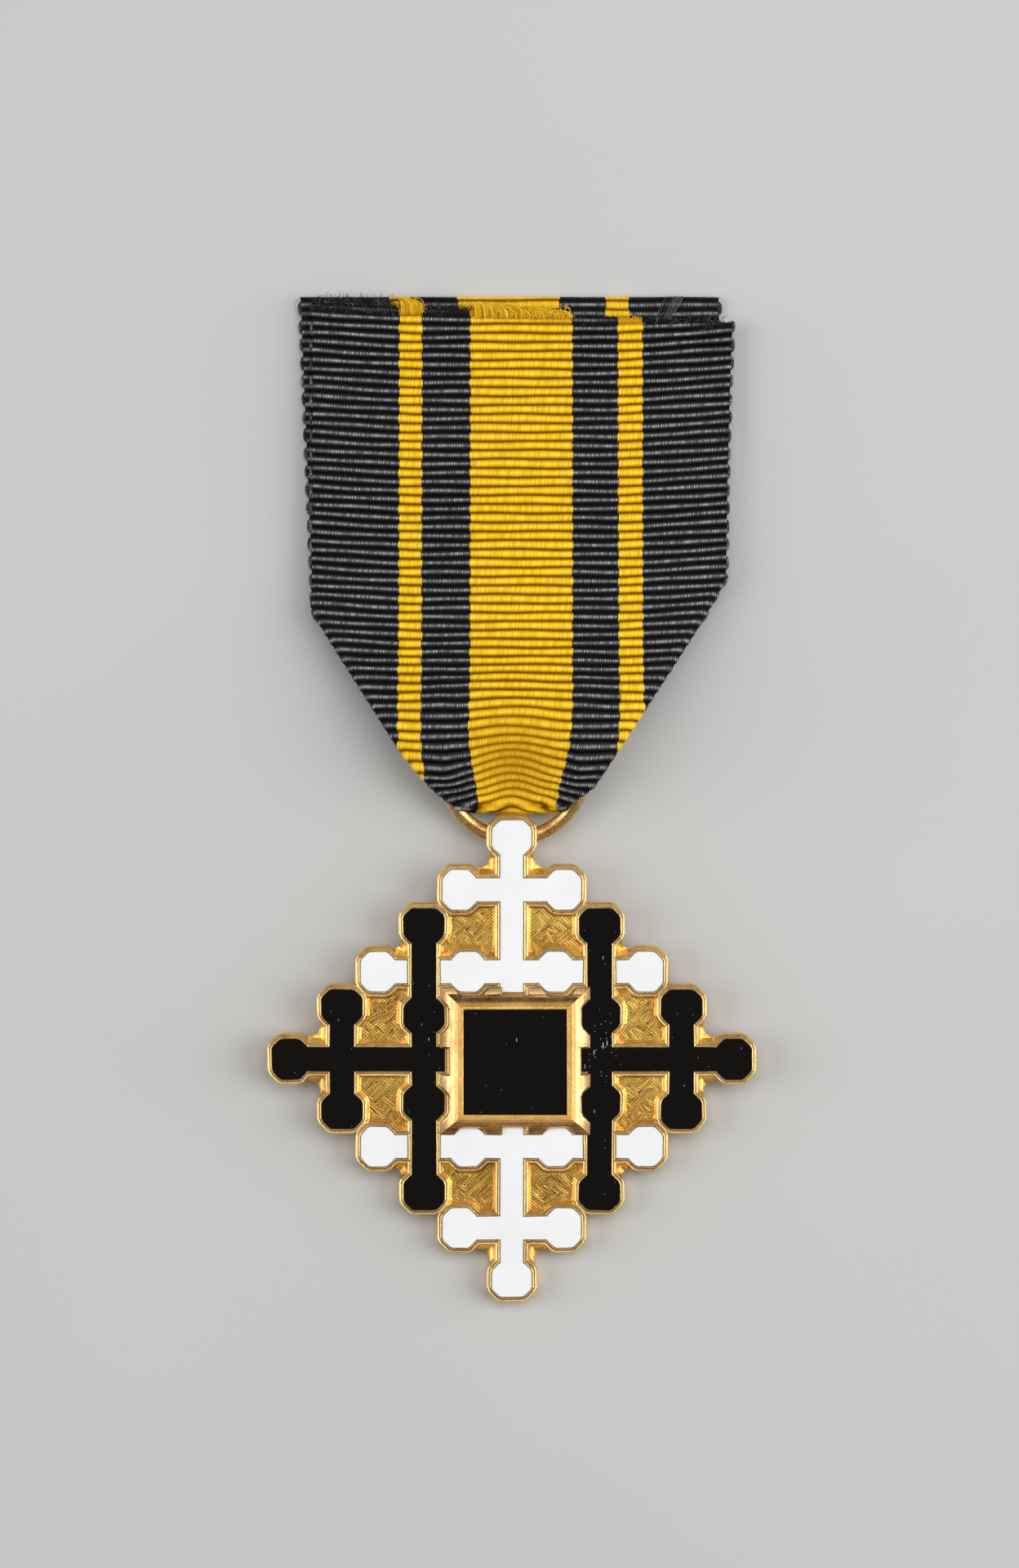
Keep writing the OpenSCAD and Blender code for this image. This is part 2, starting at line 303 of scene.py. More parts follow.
def triangulate(lines):
    """Cuts the plane into triangles along the lines."""
    index, edges = Numbering(), []
    for p, q in lines:
        ends = index[rounded(p)], index[rounded(q)]
        if ends[0] != ends[1]:
            edges.append(ends)
    out = delaunay_2d_cdt([Vector(p) for p in index], edges, [], 0, 1e-4)
    return np.array([tuple(v) for v in out[0]]), np.array([tuple(f) for f in out[2]])


def solid(plan, triangles, kinds, tops, base, inside):
    """Points and faces of a closed solid over a triangulated plan, with a step wherever the kind of
    ground changes. tops maps each kind to the heights of all plan points, highest kind first."""
    index, faces, sides, border = Numbering(), [], {}, []
    for triangle, kind in zip(triangles, kinds):
        faces.append([index[i, kind] for i in triangle])
        for i, j in zip(triangle, np.roll(triangle, -1)):
            sides[i, j] = kind
    rank = [*tops, "base"]
    for (i, j), kind in sides.items():
        other = sides.get((j, i), "base")
        if other == "base":
            border.append((plan[i], plan[j]))
        if rank.index(kind) < rank.index(other):
            faces.append([index[i, kind], index[i, other], index[j, other], index[j, kind]])
    under, back = triangulate(border)
    known = {rounded(p): i for i, p in enumerate(plan)}
    for triangle in back[inside(under[back].mean(axis=1))]:
        corners = [tuple(p) for p in under[triangle[::-1]]]
        faces.append([index[known.get(rounded(p), p), "base"] for p in corners])
    points = []
    for at, kind in index:
        x, y = at if isinstance(at, tuple) else plan[at]
        points.append((x, y, base if kind == "base" else tops[kind][at]))
    return np.array(points), faces


def cut_out(lines, inside):
    """The plan that the lines cut into triangles, with those inside and their middles."""
    plan, triangles = triangulate(lines)
    middles = plan[triangles].mean(axis=1)
    kept = inside(middles)
    return plan, triangles[kept], middles[kept]


def read(profile, x):
    """What a profile of (place, value) pairs says at x."""
    return np.interp(x, *zip(*profile))


def wobble(points):
    """Small hand-made unevenness of the stamping, the same for metal and enamel."""
    p = np.array(points, float)
    x, y = p[:, :2].T.copy()
    p[:, 0] += 0.014 * np.sin(1.9 * y + 0.7 * x) + 0.009 * np.sin(4.3 * y - 1.1 * x + 2)
    p[:, 1] += 0.014 * np.sin(1.7 * x - 0.6 * y + 1) + 0.009 * np.sin(4.7 * x + 1.3 * y)
    return p


# Height of the metal at each distance from the enamel: a groove, the worn top of the wall between
# two brighter edges, the slope, and the floor of the field
WALL_PROFILE = [
    (0.0, 1.66),
    (0.03, 1.75),
    (0.06, 1.80),
    (0.10, 1.80),
    (0.15, 1.765),
    (0.27, 1.76),
    (0.32, 1.785),
    (0.36, 1.785),
    (0.40, 1.75),
    (0.46, 1.66),
    (0.60, 1.38),
    (0.66, FLOOR_Z),
]
FLOOR_FROM = WALL_PROFILE[-1][0]
# Height of the metal in the pockets outside the walls, where the slope runs on to the plate's edge
POCKET_PROFILE = [(0.46, 1.66), (0.56, 1.46), (0.68, 1.32), (0.82, 1.23), (1.0, 1.18), (1.4, 1.15)]
# The larger coordinate of a point in one of the eight closed fields lies between these
FIELD_SPAN = (8.7, 13.9)
# Height of the enamel at each distance outside its edge, which is negative inside
ENAMEL_PROFILE = [(-0.6, 1.74), (-0.3, 1.738), (-0.12, 1.733), (-0.04, 1.726), (0.0, 1.72)]


class Hatching:
    """Fine ridges on the floors of the eight fields, in small patches that lean either way."""

    PITCH = 0.18
    DEPTH = 0.009
    PATCH = 0.85
    # How far from its seed a patch may reach, half the length of a line drawn across it, and the
    # shortest part of that line which is kept
    REACH = 1.4
    HALF_LINE = 2
    SHORTEST = 0.02
    # Places of the seeds in the first field
    COLUMNS = np.arange(2.1, 5.9, PATCH)
    ROWS = np.arange(9.9, 13.2, PATCH)

    def __init__(self):
        self.seeds, self.angles = [], []
        for matrix in FLIPS + [TURN @ flip for flip in FLIPS]:
            for x in self.COLUMNS:
                for y in self.ROWS:
                    seed = matrix @ [x + dice.uniform(-0.3, 0.3), y + dice.uniform(-0.3, 0.3)]
                    self.seeds.append(seed)
                    lean = (45 if dice.random() < 0.62 else -45) + dice.uniform(-8, 8)
                    self.angles.append(math.radians(lean))
        self.seeds, self.angles = np.array(self.seeds), np.array(self.angles)

    def patch(self, k):
        """The patch round seed k, as a convex shape that is nearer to it than to any other seed."""
        seed = self.seeds[k]
        gap = np.linalg.norm(self.seeds - seed, axis=1)
        rows = []
        for n in np.flatnonzero((gap > 0) & (gap < 3 * self.PATCH)):
            across = (self.seeds[n] - seed) / gap[n]
            rows.append([*across, across @ (seed + self.seeds[n]) / 2])
        box = rectangle(*(seed[0] + [-1, 1]), *(seed[1] + [-1, 1]))
        return np.vstack([rows, box[:4]])

    def lines(self):
        lines = []
        fields = np.stack(ALL_CELLS)
        half = self.PITCH / 2
        for k, angle in enumerate(self.angles):
            patch = self.patch(k)[None]
            along, across = toward(angle), toward(angle + math.pi / 2)
            middle = across @ self.seeds[k]
            first, last = (round((middle + reach) / half) for reach in (-self.REACH, self.REACH))
            for step in range(first, last + 1):
                at = across * step * half + along * (along @ self.seeds[k])
                p, q = at - self.HALF_LINE * along, at + self.HALF_LINE * along
                for start, end in spans(p, q, patch):
                    if end - start > self.SHORTEST:
                        ends = p + start * (q - p), p + end * (q - p)
                        lines += outside_parts(*ends, fields, FLOOR_FROM)
        return lines

    def heights(self, points):
        """Height of the ridges at each point, above or below the floor."""
        gaps = np.linalg.norm(points[:, None] - self.seeds[None], axis=2)
        owner = gaps.argmin(axis=1)
        angle = self.angles[owner]
        t = (points[:, 1] * np.cos(angle) - points[:, 0] * np.sin(angle)) / self.PITCH
        wave = 1 - 4 * abs(t - np.floor(t) - 0.5)
        strength = 0.8 + 0.4 * np.sin(12.9 * owner + 7.1 * np.round(2 * t))
        near = gaps.min(axis=1) < self.PATCH * 1.3
        return np.where(near, -self.DEPTH * wave * strength, 0)


def fillet_corners():
    half = NECK_W / 2 + WEB_W
    bases = [(half, OUTER_OFFSET + half), (OUTER_OFFSET + half, half),
             (INNER_OFFSET + half, INNER_OFFSET + half)]
    return [(flip, np.array(base)) for flip in FLIPS for base in bases]


def fillet_lines():
    lines = []
    for flip, base in fillet_corners():
        arc = [base + WEB_R + WEB_R * toward(math.radians(a)) for a in range(180, 271, 15)]
        lines += [(flip @ p, flip @ q) for p, q in zip(arc, arc[1:])]
    return lines


def in_fillet(points):
    inside = np.zeros(len(points), bool)
    for flip, base in fillet_corners():
        local = points @ flip.T - base
        near = (local > -1e-3).all(axis=1) & (local < WEB_R).all(axis=1)
        inside |= near & (np.linalg.norm(local - WEB_R, axis=1) > 0.99 * WEB_R)
    return inside


def in_plate(points):
    edge = distance(points, ALL_CELLS) <= RIM_W + FOOT
    return edge | (distance(points, webs()) <= 0) | in_fillet(points)


def grid_cells(rows, columns, closed_along=True, closed_around=True):
    """The four corners of each cell of a grid of points, which may close on itself."""
    for i in range(rows if closed_along else rows - 1):
        for j in range(columns if closed_around else columns - 1):
            after, beside = (i + 1) % rows * columns, (j + 1) % columns
            yield i * columns + j, i * columns + beside, after + beside, after + j


def eye_loop():
    """The eye behind the top arm, from its section: radius, and side as a share of half its length."""
    sections = [(EYE_R, 1), (EYE_OUT - 0.1, 1), (EYE_OUT, 0.86),
                (EYE_OUT, -0.86), (EYE_OUT - 0.1, -1), (EYE_R, -1)]
    turns = 48
    points = []
    for k in range(turns):
        for radius, side in sections:
            y, z = radius * toward(2 * math.pi * k / turns)
            points.append((side * EYE_L / 2, EYE_Y + y, z - EYE_DROP))
    return np.array(points), list(grid_cells(turns, len(sections)))


def join(parts):
    """Joins (points, faces) pairs into one."""
    points, faces, start = [], [], 0
    for p, f in parts:
        points.append(np.asarray(p, float))
        faces += [[i + start for i in face] for face in f]
        start += len(p)
    return np.vstack(points), faces


def in_field(points):
    """Which points lie in one of the eight closed fields between the walls."""
    far, near = abs(points).max(axis=1), abs(points).min(axis=1)
    return (far > FIELD_SPAN[0]) & (far < FIELD_SPAN[1]) & (near < INNER_OFFSET)


def make_cross(material):
    hatching = Hatching()
    lines = outlines(ALL_CELLS, [d for d, _ in WALL_PROFILE])
    lines += outlines(webs(), [0]) + fillet_lines() + hatching.lines()
    lines += outlines(ALL_CELLS, [d for d, _ in POCKET_PROFILE[1:4]])
    plan, triangles, middles = cut_out(lines, in_plate)
    away = distance(plan, ALL_CELLS)
    metal = read(WALL_PROFILE, away)
    floor = away > FLOOR_FROM - 0.02
    metal[floor] += hatching.heights(plan[floor])
    pocket = (away > POCKET_PROFILE[0][0]) & ~in_field(plan)
    metal[pocket] = read(POCKET_PROFILE, away[pocket])
    kinds = np.where(distance(middles, ALL_CELLS) > 0, "metal", "cell")
    tops = {"metal": metal, "cell": np.full(len(plan), CELL_Z)}
    points, faces = join([solid(plan, triangles, kinds, tops, 0.0, in_plate), eye_loop()])
    away = distance(points[:, :2], ALL_CELLS)
    away[points[:, 2] < CELL_Z] = 1
    ridge = hatching.heights(points[:, :2]) / hatching.DEPTH
    ridge[(away < FLOOR_FROM - 0.02) | ~in_field(points[:, :2])] = 0.5
    return new_piece("cross_body", lying(wobble(points)), faces, material, "gilt",
                     "gilt_body", away=away, ridge=ridge)


# Half width, half height and height of the centre frame, from the panel's edge outwards
FRAME_STEPS = np.array([
    (4.55, 4.65, 2.72),
    (4.60, 4.70, 2.75),
    (4.80, 4.90, 2.74),
    (5.00, 5.08, 2.75),
    (5.06, 5.14, 2.71),
    (5.30, 5.34, 2.49),
    (5.62, 5.61, 2.27),
    (6.00, 5.94, 2.08),
    (6.40, 6.29, 1.95),
    (6.62, 6.48, 1.92),
    (6.70, 6.55, 1.88),
])
FRAME_BASE = 1.6
# Which part of the frame a height belongs to, for its material: -1 the flange, 0 the slope, 1 the lip
TIERS = [(1.98, -1), (2.08, 0), (2.6, 0), (2.7, 1)]
# How far the frame's rounded edge drops at each distance from it
EDGE_DROP = [(0.0, 0.17), (0.04, 0.08), (0.10, 0.03), (0.18, 0.0)]


def frame_height(points):
    """Height of the frame at points given from its own middle."""
    z = np.full(len(points), FRAME_STEPS[-1, 2])
    for inner, outer in zip(FRAME_STEPS[-2::-1], FRAME_STEPS[:0:-1]):
        share = ((abs(points) - inner[:2]) / (outer - inner)[:2]).max(axis=1)
        z = np.where(share <= 1.0001, inner[2] + (outer - inner)[2] * share.clip(0, 1), z)
    return z


def make_frame(material):
    def inside(points):
        local = abs(points - FRAME_SHIFT)
        on_frame = (local <= FRAME_HALF).all(axis=1)
        on_panel = (local <= np.array(PANEL_SIZE) / 2).all(axis=1)
        return on_frame & ~on_panel & (distance(points, notches) > FLANGE_GAP)

    notches = [np.column_stack([s[:, :2], s[:, 2] + s[:, :2] @ FRAME_SHIFT]) for s in ALL_CELLS]
    corners = np.array([(1, 1), (-1, 1), (-1, -1), (1, -1)])
    steps = [list(FRAME_SHIFT + corners * step[:2]) for step in FRAME_STEPS]
    lines = []
    for step in steps:
        lines += zip(step, step[1:] + step[:1])
    for inner, outer in zip(steps, steps[1:]):
        lines += zip(inner, outer)
    lines += outlines(notches, [d + FLANGE_GAP for d, _ in EDGE_DROP])
    plan, triangles, _ = cut_out(lines, inside)
    local = plan - FRAME_SHIFT
    to_side = (FRAME_HALF - abs(local)).min(axis=1)
    drop = read(EDGE_DROP, np.minimum(distance(plan, notches) - FLANGE_GAP, to_side))
    dents = 0.02 * np.sin(3.1 * local[:, 0] + 2 * np.sin(2.3 * local[:, 1]))
    tops = {"frame": frame_height(local) - drop + dents * (to_side < 1.6)}
    points, faces = solid(plan, triangles, ["frame"] * len(triangles), tops, FRAME_BASE, inside)
    return new_piece("centre_frame", lying(wobble(points)), faces, material, "gilt",
                     "gilt_body", tier=read(TIERS, points[:, 2]))


def make_enamel(name, material, slot):
    """Enamel that fills one cell and sinks a little towards its edges."""
    def inside(points):
        return distance(points, CELLS[name]) <= 0

    plan, triangles, _ = cut_out(outlines(CELLS[name], [d for d, _ in ENAMEL_PROFILE]), inside)
    tops = {"top": read(ENAMEL_PROFILE, distance(plan, CELLS[name]))}
    points, faces = solid(plan, triangles, ["top"] * len(triangles), tops, CELL_Z, inside)
    away = -distance(points[:, :2], CELLS[name])
    return new_piece(name + "_enamel", lying(wobble(points)), faces, material, slot, name,
                     away=away)


def make_ring(material):
    """The wire ring, very slightly uneven as hand-drawn wire is. Its material reads the place round
    the wire, which starts underneath."""
    around, across = 160, 28
    turn = 2 * np.pi * np.arange(around)[:, None] / around
    twist = 2 * np.pi * np.arange(across) / across - np.pi / 2
    thick = WIRE_R * (1 + 0.008 * np.sin(5 * turn + 1) + 0.006 * np.sin(11 * turn))
    reach = RING_R + thick * np.cos(twist)
    y, z = tipped(RING_R - reach * np.cos(turn), thick * np.sin(twist), RING_TILT)
    points = np.stack([RING_X + reach * np.sin(turn), RING_FOOT_Y + y, RING_FOOT_Z + z], axis=-1)
    faces = [[a, d, c, b] for a, b, c, d in grid_cells(around, across)]
    return new_piece("ring", on_table(points.reshape(-1, 3)), faces, material, "gilt",
                     "suspension_ring", smooth=True,
                     around=np.tile(np.arange(across) / across, around))


# The ribbon, in millimetres from the cross's middle. Rows of the front layer, from its cut edge down
# to the loop: place, left edge, right edge, height in the middle, over the ring's sides and at the
# edges, and how much of the turn under the edges is made
FRONT = np.array([
    (66.8, -17.80, 19.85, 1.40, 1.40, 1.40, 0.0),
    (65.6, -17.85, 19.80, 1.45, 1.45, 1.40, 0.0),
    (58.0, -17.85, 19.50, 1.85, 1.80, 1.50, 0.0),
    (50.0, -17.85, 19.30, 2.40, 2.30, 1.55, 0.0),
    (44.0, -17.90, 19.20, 2.90, 2.80, 1.65, 0.0),
    (42.3, -17.90, 19.15, 3.05, 2.95, 1.75, 0.0),
    (41.0, -17.90, 18.50, 3.20, 3.10, 2.00, 0.3),
    (39.6, -17.85, 17.55, 3.35, 3.25, 2.30, 0.7),
    (38.5, -17.15, 16.85, 3.50, 3.40, 2.50, 1.0),
    (36.5, -15.93, 15.55, 3.90, 3.70, 2.95, 1.0),
    (34.0, -14.33, 13.93, 4.80, 4.50, 3.35, 1.0),
    (32.3, -13.25, 12.82, 5.65, 5.15, 3.60, 1.0),
    (31.4, -12.67, 12.23, 6.10, 5.50, 3.75, 1.0),
    (30.0, -11.78, 11.31, 6.25, 5.75, 4.00, 1.0),
    (28.8, -11.02, 10.53, 5.90, 5.70, 4.20, 1.0),
    (27.0, -9.87, 9.35, 4.65, 5.30, 4.30, 1.0),
    (25.0, -8.25, 8.05, 3.30, 4.60, 4.30, 1.0),
    (23.8, -7.20, 7.25, 2.60, 4.00, 4.20, 0.8),
    (23.0, -6.35, 6.15, 2.20, 3.45, 3.90, 0.5),
    (22.3, -5.40, 5.10, 1.90, 2.70, 3.30, 0.2),
])
# Rows of the back layer, from the loop up: place, left edge and right edge
BACK = np.array([
    (23.2, -5.00, 5.40),
    (25.0, -7.60, 7.40),
    (27.0, -9.90, 9.35),
    (33.0, -13.70, 13.30),
    (39.6, -17.90, 17.60),
    (42.0, -17.95, 19.10),
    (RIBBON_TOP, -18.98, 18.58),
])
# The cloth's thickness, its ribs, the turn under its edges, and the loop round the ring
CLOTH_T = 0.5
RIB = 0.80
RIB_STEPS = 6
RIB_HEIGHT = 0.26
FOLD_R = 0.34
FLAP_W = 4.5
LEAST = 0.12
SELVAGE = 0.3
LOOP_R = 0.82
LOOP_Y = 22.65
LOOP_START = math.radians(65)
TURN_ROWS = 16
BACK_Z = 0.33
BACK_STEPS = 5
BARE_RIBS = 1.3
SELVAGE_OUT = 0.16
SELVAGE_R = 0.14
# How much flatter the ribs get at the folds, from where and over how much of half the width
FOLD_FLATTER = 0.6
FOLD_FROM = 0.68
FOLD_OVER = 0.14
# The front's grid: its columns as shares of the width, its first and last place, and over what length
# the ribs turn from the slanting cut edge and into the loop
FRONT_SHARES = np.linspace(0, 1, 61)
FRONT_FROM = 67.0
FRONT_TO = 22.3
CUT_FAN = 4.0
LOOP_FAN = 6
# Heights between which each layer's woven edges show
FRONT_SELVAGE = (41.5, 65.4)
BACK_SELVAGE = (38.5, 67)
# How much higher the ribs arch over the ring at each place, and how much they flatten and get painted
# shade
ARCH = [(22.3, 0.1), (23.3, 0.35), (25, 0.75), (28, 0.45), (33, 0)]
FLATTEN_AND_SHADE = [(22.3, 0.21), (23.5, 0.42), (26.5, 0.7), (29.5, 0.35), (31.5, 0)]
# How much of its width the flap under the front's edges has at each place
FLAP_SHARE = [(22, 0), (25, 0.5), (33, 1), (38.5, 0.5), (40, 0)]
# The loop's sides, which turn over the ring: share of the turn, left edge, right edge, place, height
LOOP = np.array([
    (0.00, -5.35, 5.05, 22.30, 3.25),
    (0.12, -4.95, 4.75, 22.05, 3.00),
    (0.25, -4.30, 4.40, 21.88, 2.72),
    (0.40, -3.60, 4.10, 21.90, 2.35),
    (0.60, -3.40, 4.00, 22.35, 1.95),
    (0.75, -3.60, 4.10, 22.65, 1.35),
    (0.90, -4.20, 4.60, 22.85, 0.60),
    (1.00, -4.60, 5.00, 22.90, 0.33),
])
# The width of a warp thread
THREAD = 0.145
# How far from the middle the ring's sides hold the cloth up, at most this share of the way to its edge,
# and where the ribs' arch over the ring ends
RING_SIDE = 6.0
SIDE_SHARE = 0.7
ARCH_SIDE = 5.8
# The front's cut edge slants from one place to the other
CUT_LEFT = 66.55
CUT_RIGHT = 64.8
# Where the stripes change colour across the flat cloth, with its two edges
FLAT = np.array([0, 7.92, 9.93, 14.18, 23.17, 27.20, 29.36, 37.6])
# Where the same lines run on the front, at heights from the top down: place, then each line
FRONT_LINES = np.array([
    (66.0, -17.83, -9.91, -7.90, -3.65, 5.34, 9.37, 11.53, 19.80),
    (42.0, -17.83, -9.91, -7.90, -3.65, 5.34, 9.37, 11.50, 19.40),
    (31.3, -17.83, -9.91, -7.87, -3.65, 5.29, 9.40, 11.50, 19.40),
    (28.4, -17.83, -9.91, -7.87, -3.80, 5.15, 9.29, 11.40, 19.40),
    (26.2, -17.75, -9.85, -7.80, -3.60, 4.81, 9.10, 11.20, 19.20),
    (23.6, -17.40, -9.50, -7.40, -3.12, 4.04, 8.40, 10.50, 18.40),
    (22.3, -17.20, -9.20, -7.10, -3.00, 3.95, 8.30, 10.40, 18.20),
])
BACK_LINES = np.array([
    (RIBBON_TOP, -18.98, -10.85, -9.05, -4.81, 4.19, 8.29, 10.30, 18.58),
    (42.0, -17.95, -9.95, -7.95, -3.70, 5.20, 9.20, 11.30, 19.10),
    (22.3, -17.40, -9.50, -7.40, -3.10, 4.10, 8.40, 10.50, 18.40),
])


def eased(y, table, column, soft=1.0):
    """A column of a table at place y, with its corners rounded off."""
    order = np.argsort(table[:, 0])
    places, values = table[order, 0], table[order, column]
    offsets = np.linspace(-soft, soft, 9)
    return sum(np.interp(y + offset, places, values) for offset in offsets) / len(offsets)


def sides(y, table):
    """Left and right edge of a layer at place y."""
    return eased(y, table, 1, 0.3), eased(y, table, 2, 0.3)


def front_height(x, y):
    left, right = sides(y, FRONT)
    middle, side, edge = (eased(y, FRONT, k) for k in (3, 4, 5))
    reach = np.where(x < 0, -left, right)
    near = np.minimum(RING_SIDE, SIDE_SHARE * reach)
    a = abs(x)
    over = middle + (side - middle) * (1 - np.cos(np.pi * np.minimum(a, near) / near)) / 2
    past = side + (edge - side) * (a - near) / (reach - near)
    return np.where(a < near, over, past)


def rib_bow(x, y):
    """How much higher the ribs lie towards the edges, and lower beside the middle over the ring."""
    outer = ((abs(x) - 8.5) / 9.5).clip(0, 1.2)
    side = (1 - np.cos(np.pi * (abs(x) / ARCH_SIDE).clip(0, 1))) / 2
    past = 0.16 * (abs(x) - ARCH_SIDE).clip(0, 4)
    return 0.55 * outer ** 1.3 - read(ARCH, y) * (side - past)


def turn_made(y):
    """How much of the turn under the front's edges is made at place y."""
    return eased(y, FRONT, 6, 0.5).clip(0.02, 1)


def front_edges(y):
    """Left and right end of the front's flat part, inside its outline where the edges turn under."""
    turn = turn_made(y)
    angle = np.pi * turn
    bend = np.sin(np.minimum(angle, np.pi / 2))
    rest = (LEAST + SELVAGE) * (1 - turn) + LEAST * np.cos(angle).clip(0, 1)
    inset = bend * (FOLD_R + CLOTH_T / 2) + rest
    left, right = sides(y, FRONT)
    return left + inset, right - inset


def across_front(y):
    left, right = front_edges(y)
    return left + FRONT_SHARES * (right - left)


def flat_place(x, y, lines):
    """How far across the flat cloth the points at x lie."""
    rows = np.stack([eased(y, lines, k) for k in range(1, lines.shape[1])], axis=-1)
    flat = [np.interp(at, row, FLAT) for at, row in zip(x.flat, rows.reshape(-1, len(FLAT)))]
    return np.reshape(flat, x.shape)


def front_grid():
    """Points, flat places and rib counts of the front, from the cut edge down to the loop. The ribs
    start even with the cut edge and end even with the loop."""
    fine = np.arange(FRONT_FROM, FRONT_TO, -0.05)
    y = fine[:, None]
    x = across_front(y)
    climb = np.hypot(np.diff(y, axis=0), np.diff(front_height(x, y), axis=0))
    runs = (np.vstack([0 * x[:1], np.cumsum(climb, axis=0)]) + rib_bow(x, y)).T
    cut = CUT_LEFT + (CUT_RIGHT - CUT_LEFT) * FRONT_SHARES
    starts = [np.interp(-at, -fine, run) for at, run in zip(cut, runs)]
    first, last = min(starts), min(runs[:, -1])
    rows = np.arange(first, last, RIB / RIB_STEPS)
    since = ((rows - first) / CUT_FAN).clip(0, 1)
    until = ((rows - (last - LOOP_FAN)) / LOOP_FAN).clip(0, 1) ** 2
    grid_y, grid_s = [], []
    for run, start in zip(runs, starts):
        s = np.where(since < 1, start + since * (first + CUT_FAN - start), rows)
        grid_s.append(s + (run[-1] - last) * until)
        grid_y.append(np.interp(grid_s[-1], run, fine))
    y = np.array(grid_y).T
    x = across_front(y)
    flat = flat_place(x, y, FRONT_LINES)
    return np.stack([x, y, front_height(x, y), flat]), np.array(grid_s).T / RIB


def turned_under(grid):
    """Adds the turn and the flap at both edges of the front to its rows."""
    flaps = []
    for side, sign in ((0, 1), (-1, -1)):
        edge = grid[:, :, side]
        turn = turn_made(edge[1])
        angle = np.pi * turn
        flap = LEAST + FLAP_W * ((turn - 0.5) / 0.5).clip(0, 1) * read(FLAP_SHARE, edge[1])
        level = np.zeros_like(turn)
        columns = []
        for share in (0.2, 0.4, 0.6, 0.8, 1):
            a = angle * share
            spread = LEAST * share * (1 - turn)
            columns.append(edge - [sign * (FOLD_R * np.sin(a) + spread), level,
                                   FOLD_R * (1 - np.cos(a)), sign * (FOLD_R * a + spread)])
        end = columns[-1]
        for k in (1, 2, 3):
            reach = flap * k / 3
            columns.append(end - [sign * reach * np.cos(angle), level,
                                  reach * np.sin(angle), sign * reach])
        flaps.append(columns)
    left, right = np.stack(flaps[0][::-1], axis=2), np.stack(flaps[1], axis=2)
    return np.concatenate([left, grid, right], axis=2).transpose(1, 0, 2)


def point_on(line, places, at):
    """The point of a line, or the row of a table, at a place along it."""
    return np.array([np.interp(at, places, values) for values in line.T])


def loop_rows(start):
    """The turn through the ring and the back layer, from the front's last rib counts."""
    columns, at = len(start), start.mean()
    share = np.linspace(0, 1, columns)
    rows, counts = [], []
    whole = LOOP_START + math.pi / 2
    for k in range(1, TURN_ROWS + 1):
        a = LOOP_START - whole * k / TURN_ROWS
        left, right, side_y, side_z = point_on(LOOP[:, 1:], LOOP[:, 0], k / TURN_ROWS)
        x = left + share * (right - left)
        side = ((abs(x) - 2.6) / 2.4).clip(0, 1)
        side = side * side * (3 - 2 * side)
        y = (LOOP_Y - LOOP_R * math.cos(a)) * (1 - side) + side_y * side
        z = (BACK_Z + LOOP_R + LOOP_R * math.sin(a)) * (1 - side) + side_z * side
        rows.append(np.stack([x, y, z, flat_place(x, y, BACK_LINES)]))
        at += whole * LOOP_R / TURN_ROWS / RIB
        counts.append(at + start - start.mean())
    for level in np.arange(LOOP_Y + 0.2, RIBBON_TOP, RIB / BACK_STEPS):
        inset = SELVAGE * read([(38, 0), (40, 1)], level)
        left, right = sides(level, BACK)
        x = left + inset + share * (right - inset - (left + inset))
        y = np.full(columns, level)
        rows.append(np.stack([x, y, np.full(columns, BACK_Z), flat_place(x, y, BACK_LINES)]))
        at += 1 / BACK_STEPS
        counts.append(at + (start - start.mean()) * read([(23, 1), (33, 0)], level))
    return np.array(rows), np.array(counts)


def swollen(sheet, ribs, woven, relief):
    """Both faces of the cloth, with its ribs. relief is how much of their height stands out."""
    place = sheet[:, :3].transpose(0, 2, 1)
    normal = np.cross(np.gradient(place, axis=0), np.gradient(place, axis=1))
    normal /= np.linalg.norm(normal, axis=2, keepdims=True)
    wave = 1 - abs(2 * (ribs - np.floor(ribs)) - 1) ** 2.2
    strength = 1 + 0.15 * np.sin(np.floor(ribs) * 12.9)
    swell = (RIB_HEIGHT * (wave - 0.6) * strength * woven * relief)[..., None]
    thick = (CLOTH_T / 2 * (0.45 + 0.55 * woven))[..., None]
    return place + normal * (thick + swell), place - normal * (thick + 0.5 * swell)


def wavy(across, ribs):
    """The rib counts with small waves, so that the ribs wander and pinch as hand-worn ones do."""
    return (ribs + 0.04 * np.sin(0.55 * across + 1.3 * ribs)
            + 0.02 * np.sin(1.1 * across - 2.1 * ribs + 2))


def slab_faces(rows, columns):
    """Faces of a slab whose two sides are grids of points, one after the other."""
    other = rows * columns
    faces = []
    for a, b, c, d in grid_cells(rows, columns, False, False):
        faces += [(a, d, c, b), (other + a, other + b, other + c, other + d)]
    for a in range(0, other - columns, columns):
        b, c, d = a + columns, a + columns - 1, a + 2 * columns - 1
        faces += [(a, other + a, other + b, b), (c, d, other + d, other + c)]
    for a in range(columns - 1):
        b = a + other - columns
        faces += [(a, a + 1, other + a + 1, other + a), (b, other + b, other + b + 1, b + 1)]
    return faces


def cloth_piece(name, points, faces, material, across, ribs, woven):
    """A piece of the ribbon, whose material reads the place across it and the rib count."""
    piece = new_piece(name, on_table(points), faces, material, "ribbon", "ribbon", smooth=True,
                      woven=woven)
    weave = piece.data.uv_layers.new(name="weave")
    uv = np.stack([across, ribs], axis=1)
    loops = np.empty(len(piece.data.loops), int)
    piece.data.loops.foreach_get("vertex_index", loops)
    weave.data.foreach_set("uv", uv[loops].reshape(-1))
    return piece


# Parts of a rib that loose threads are painted like: from dark to fairly bright, and all bright
# The part of a rib gives a thread the cloth's painted shade or painted glints
DIM_SHINE = (0.04, 0.34)
BRIGHT_SHINE = (0.2, 0.5)
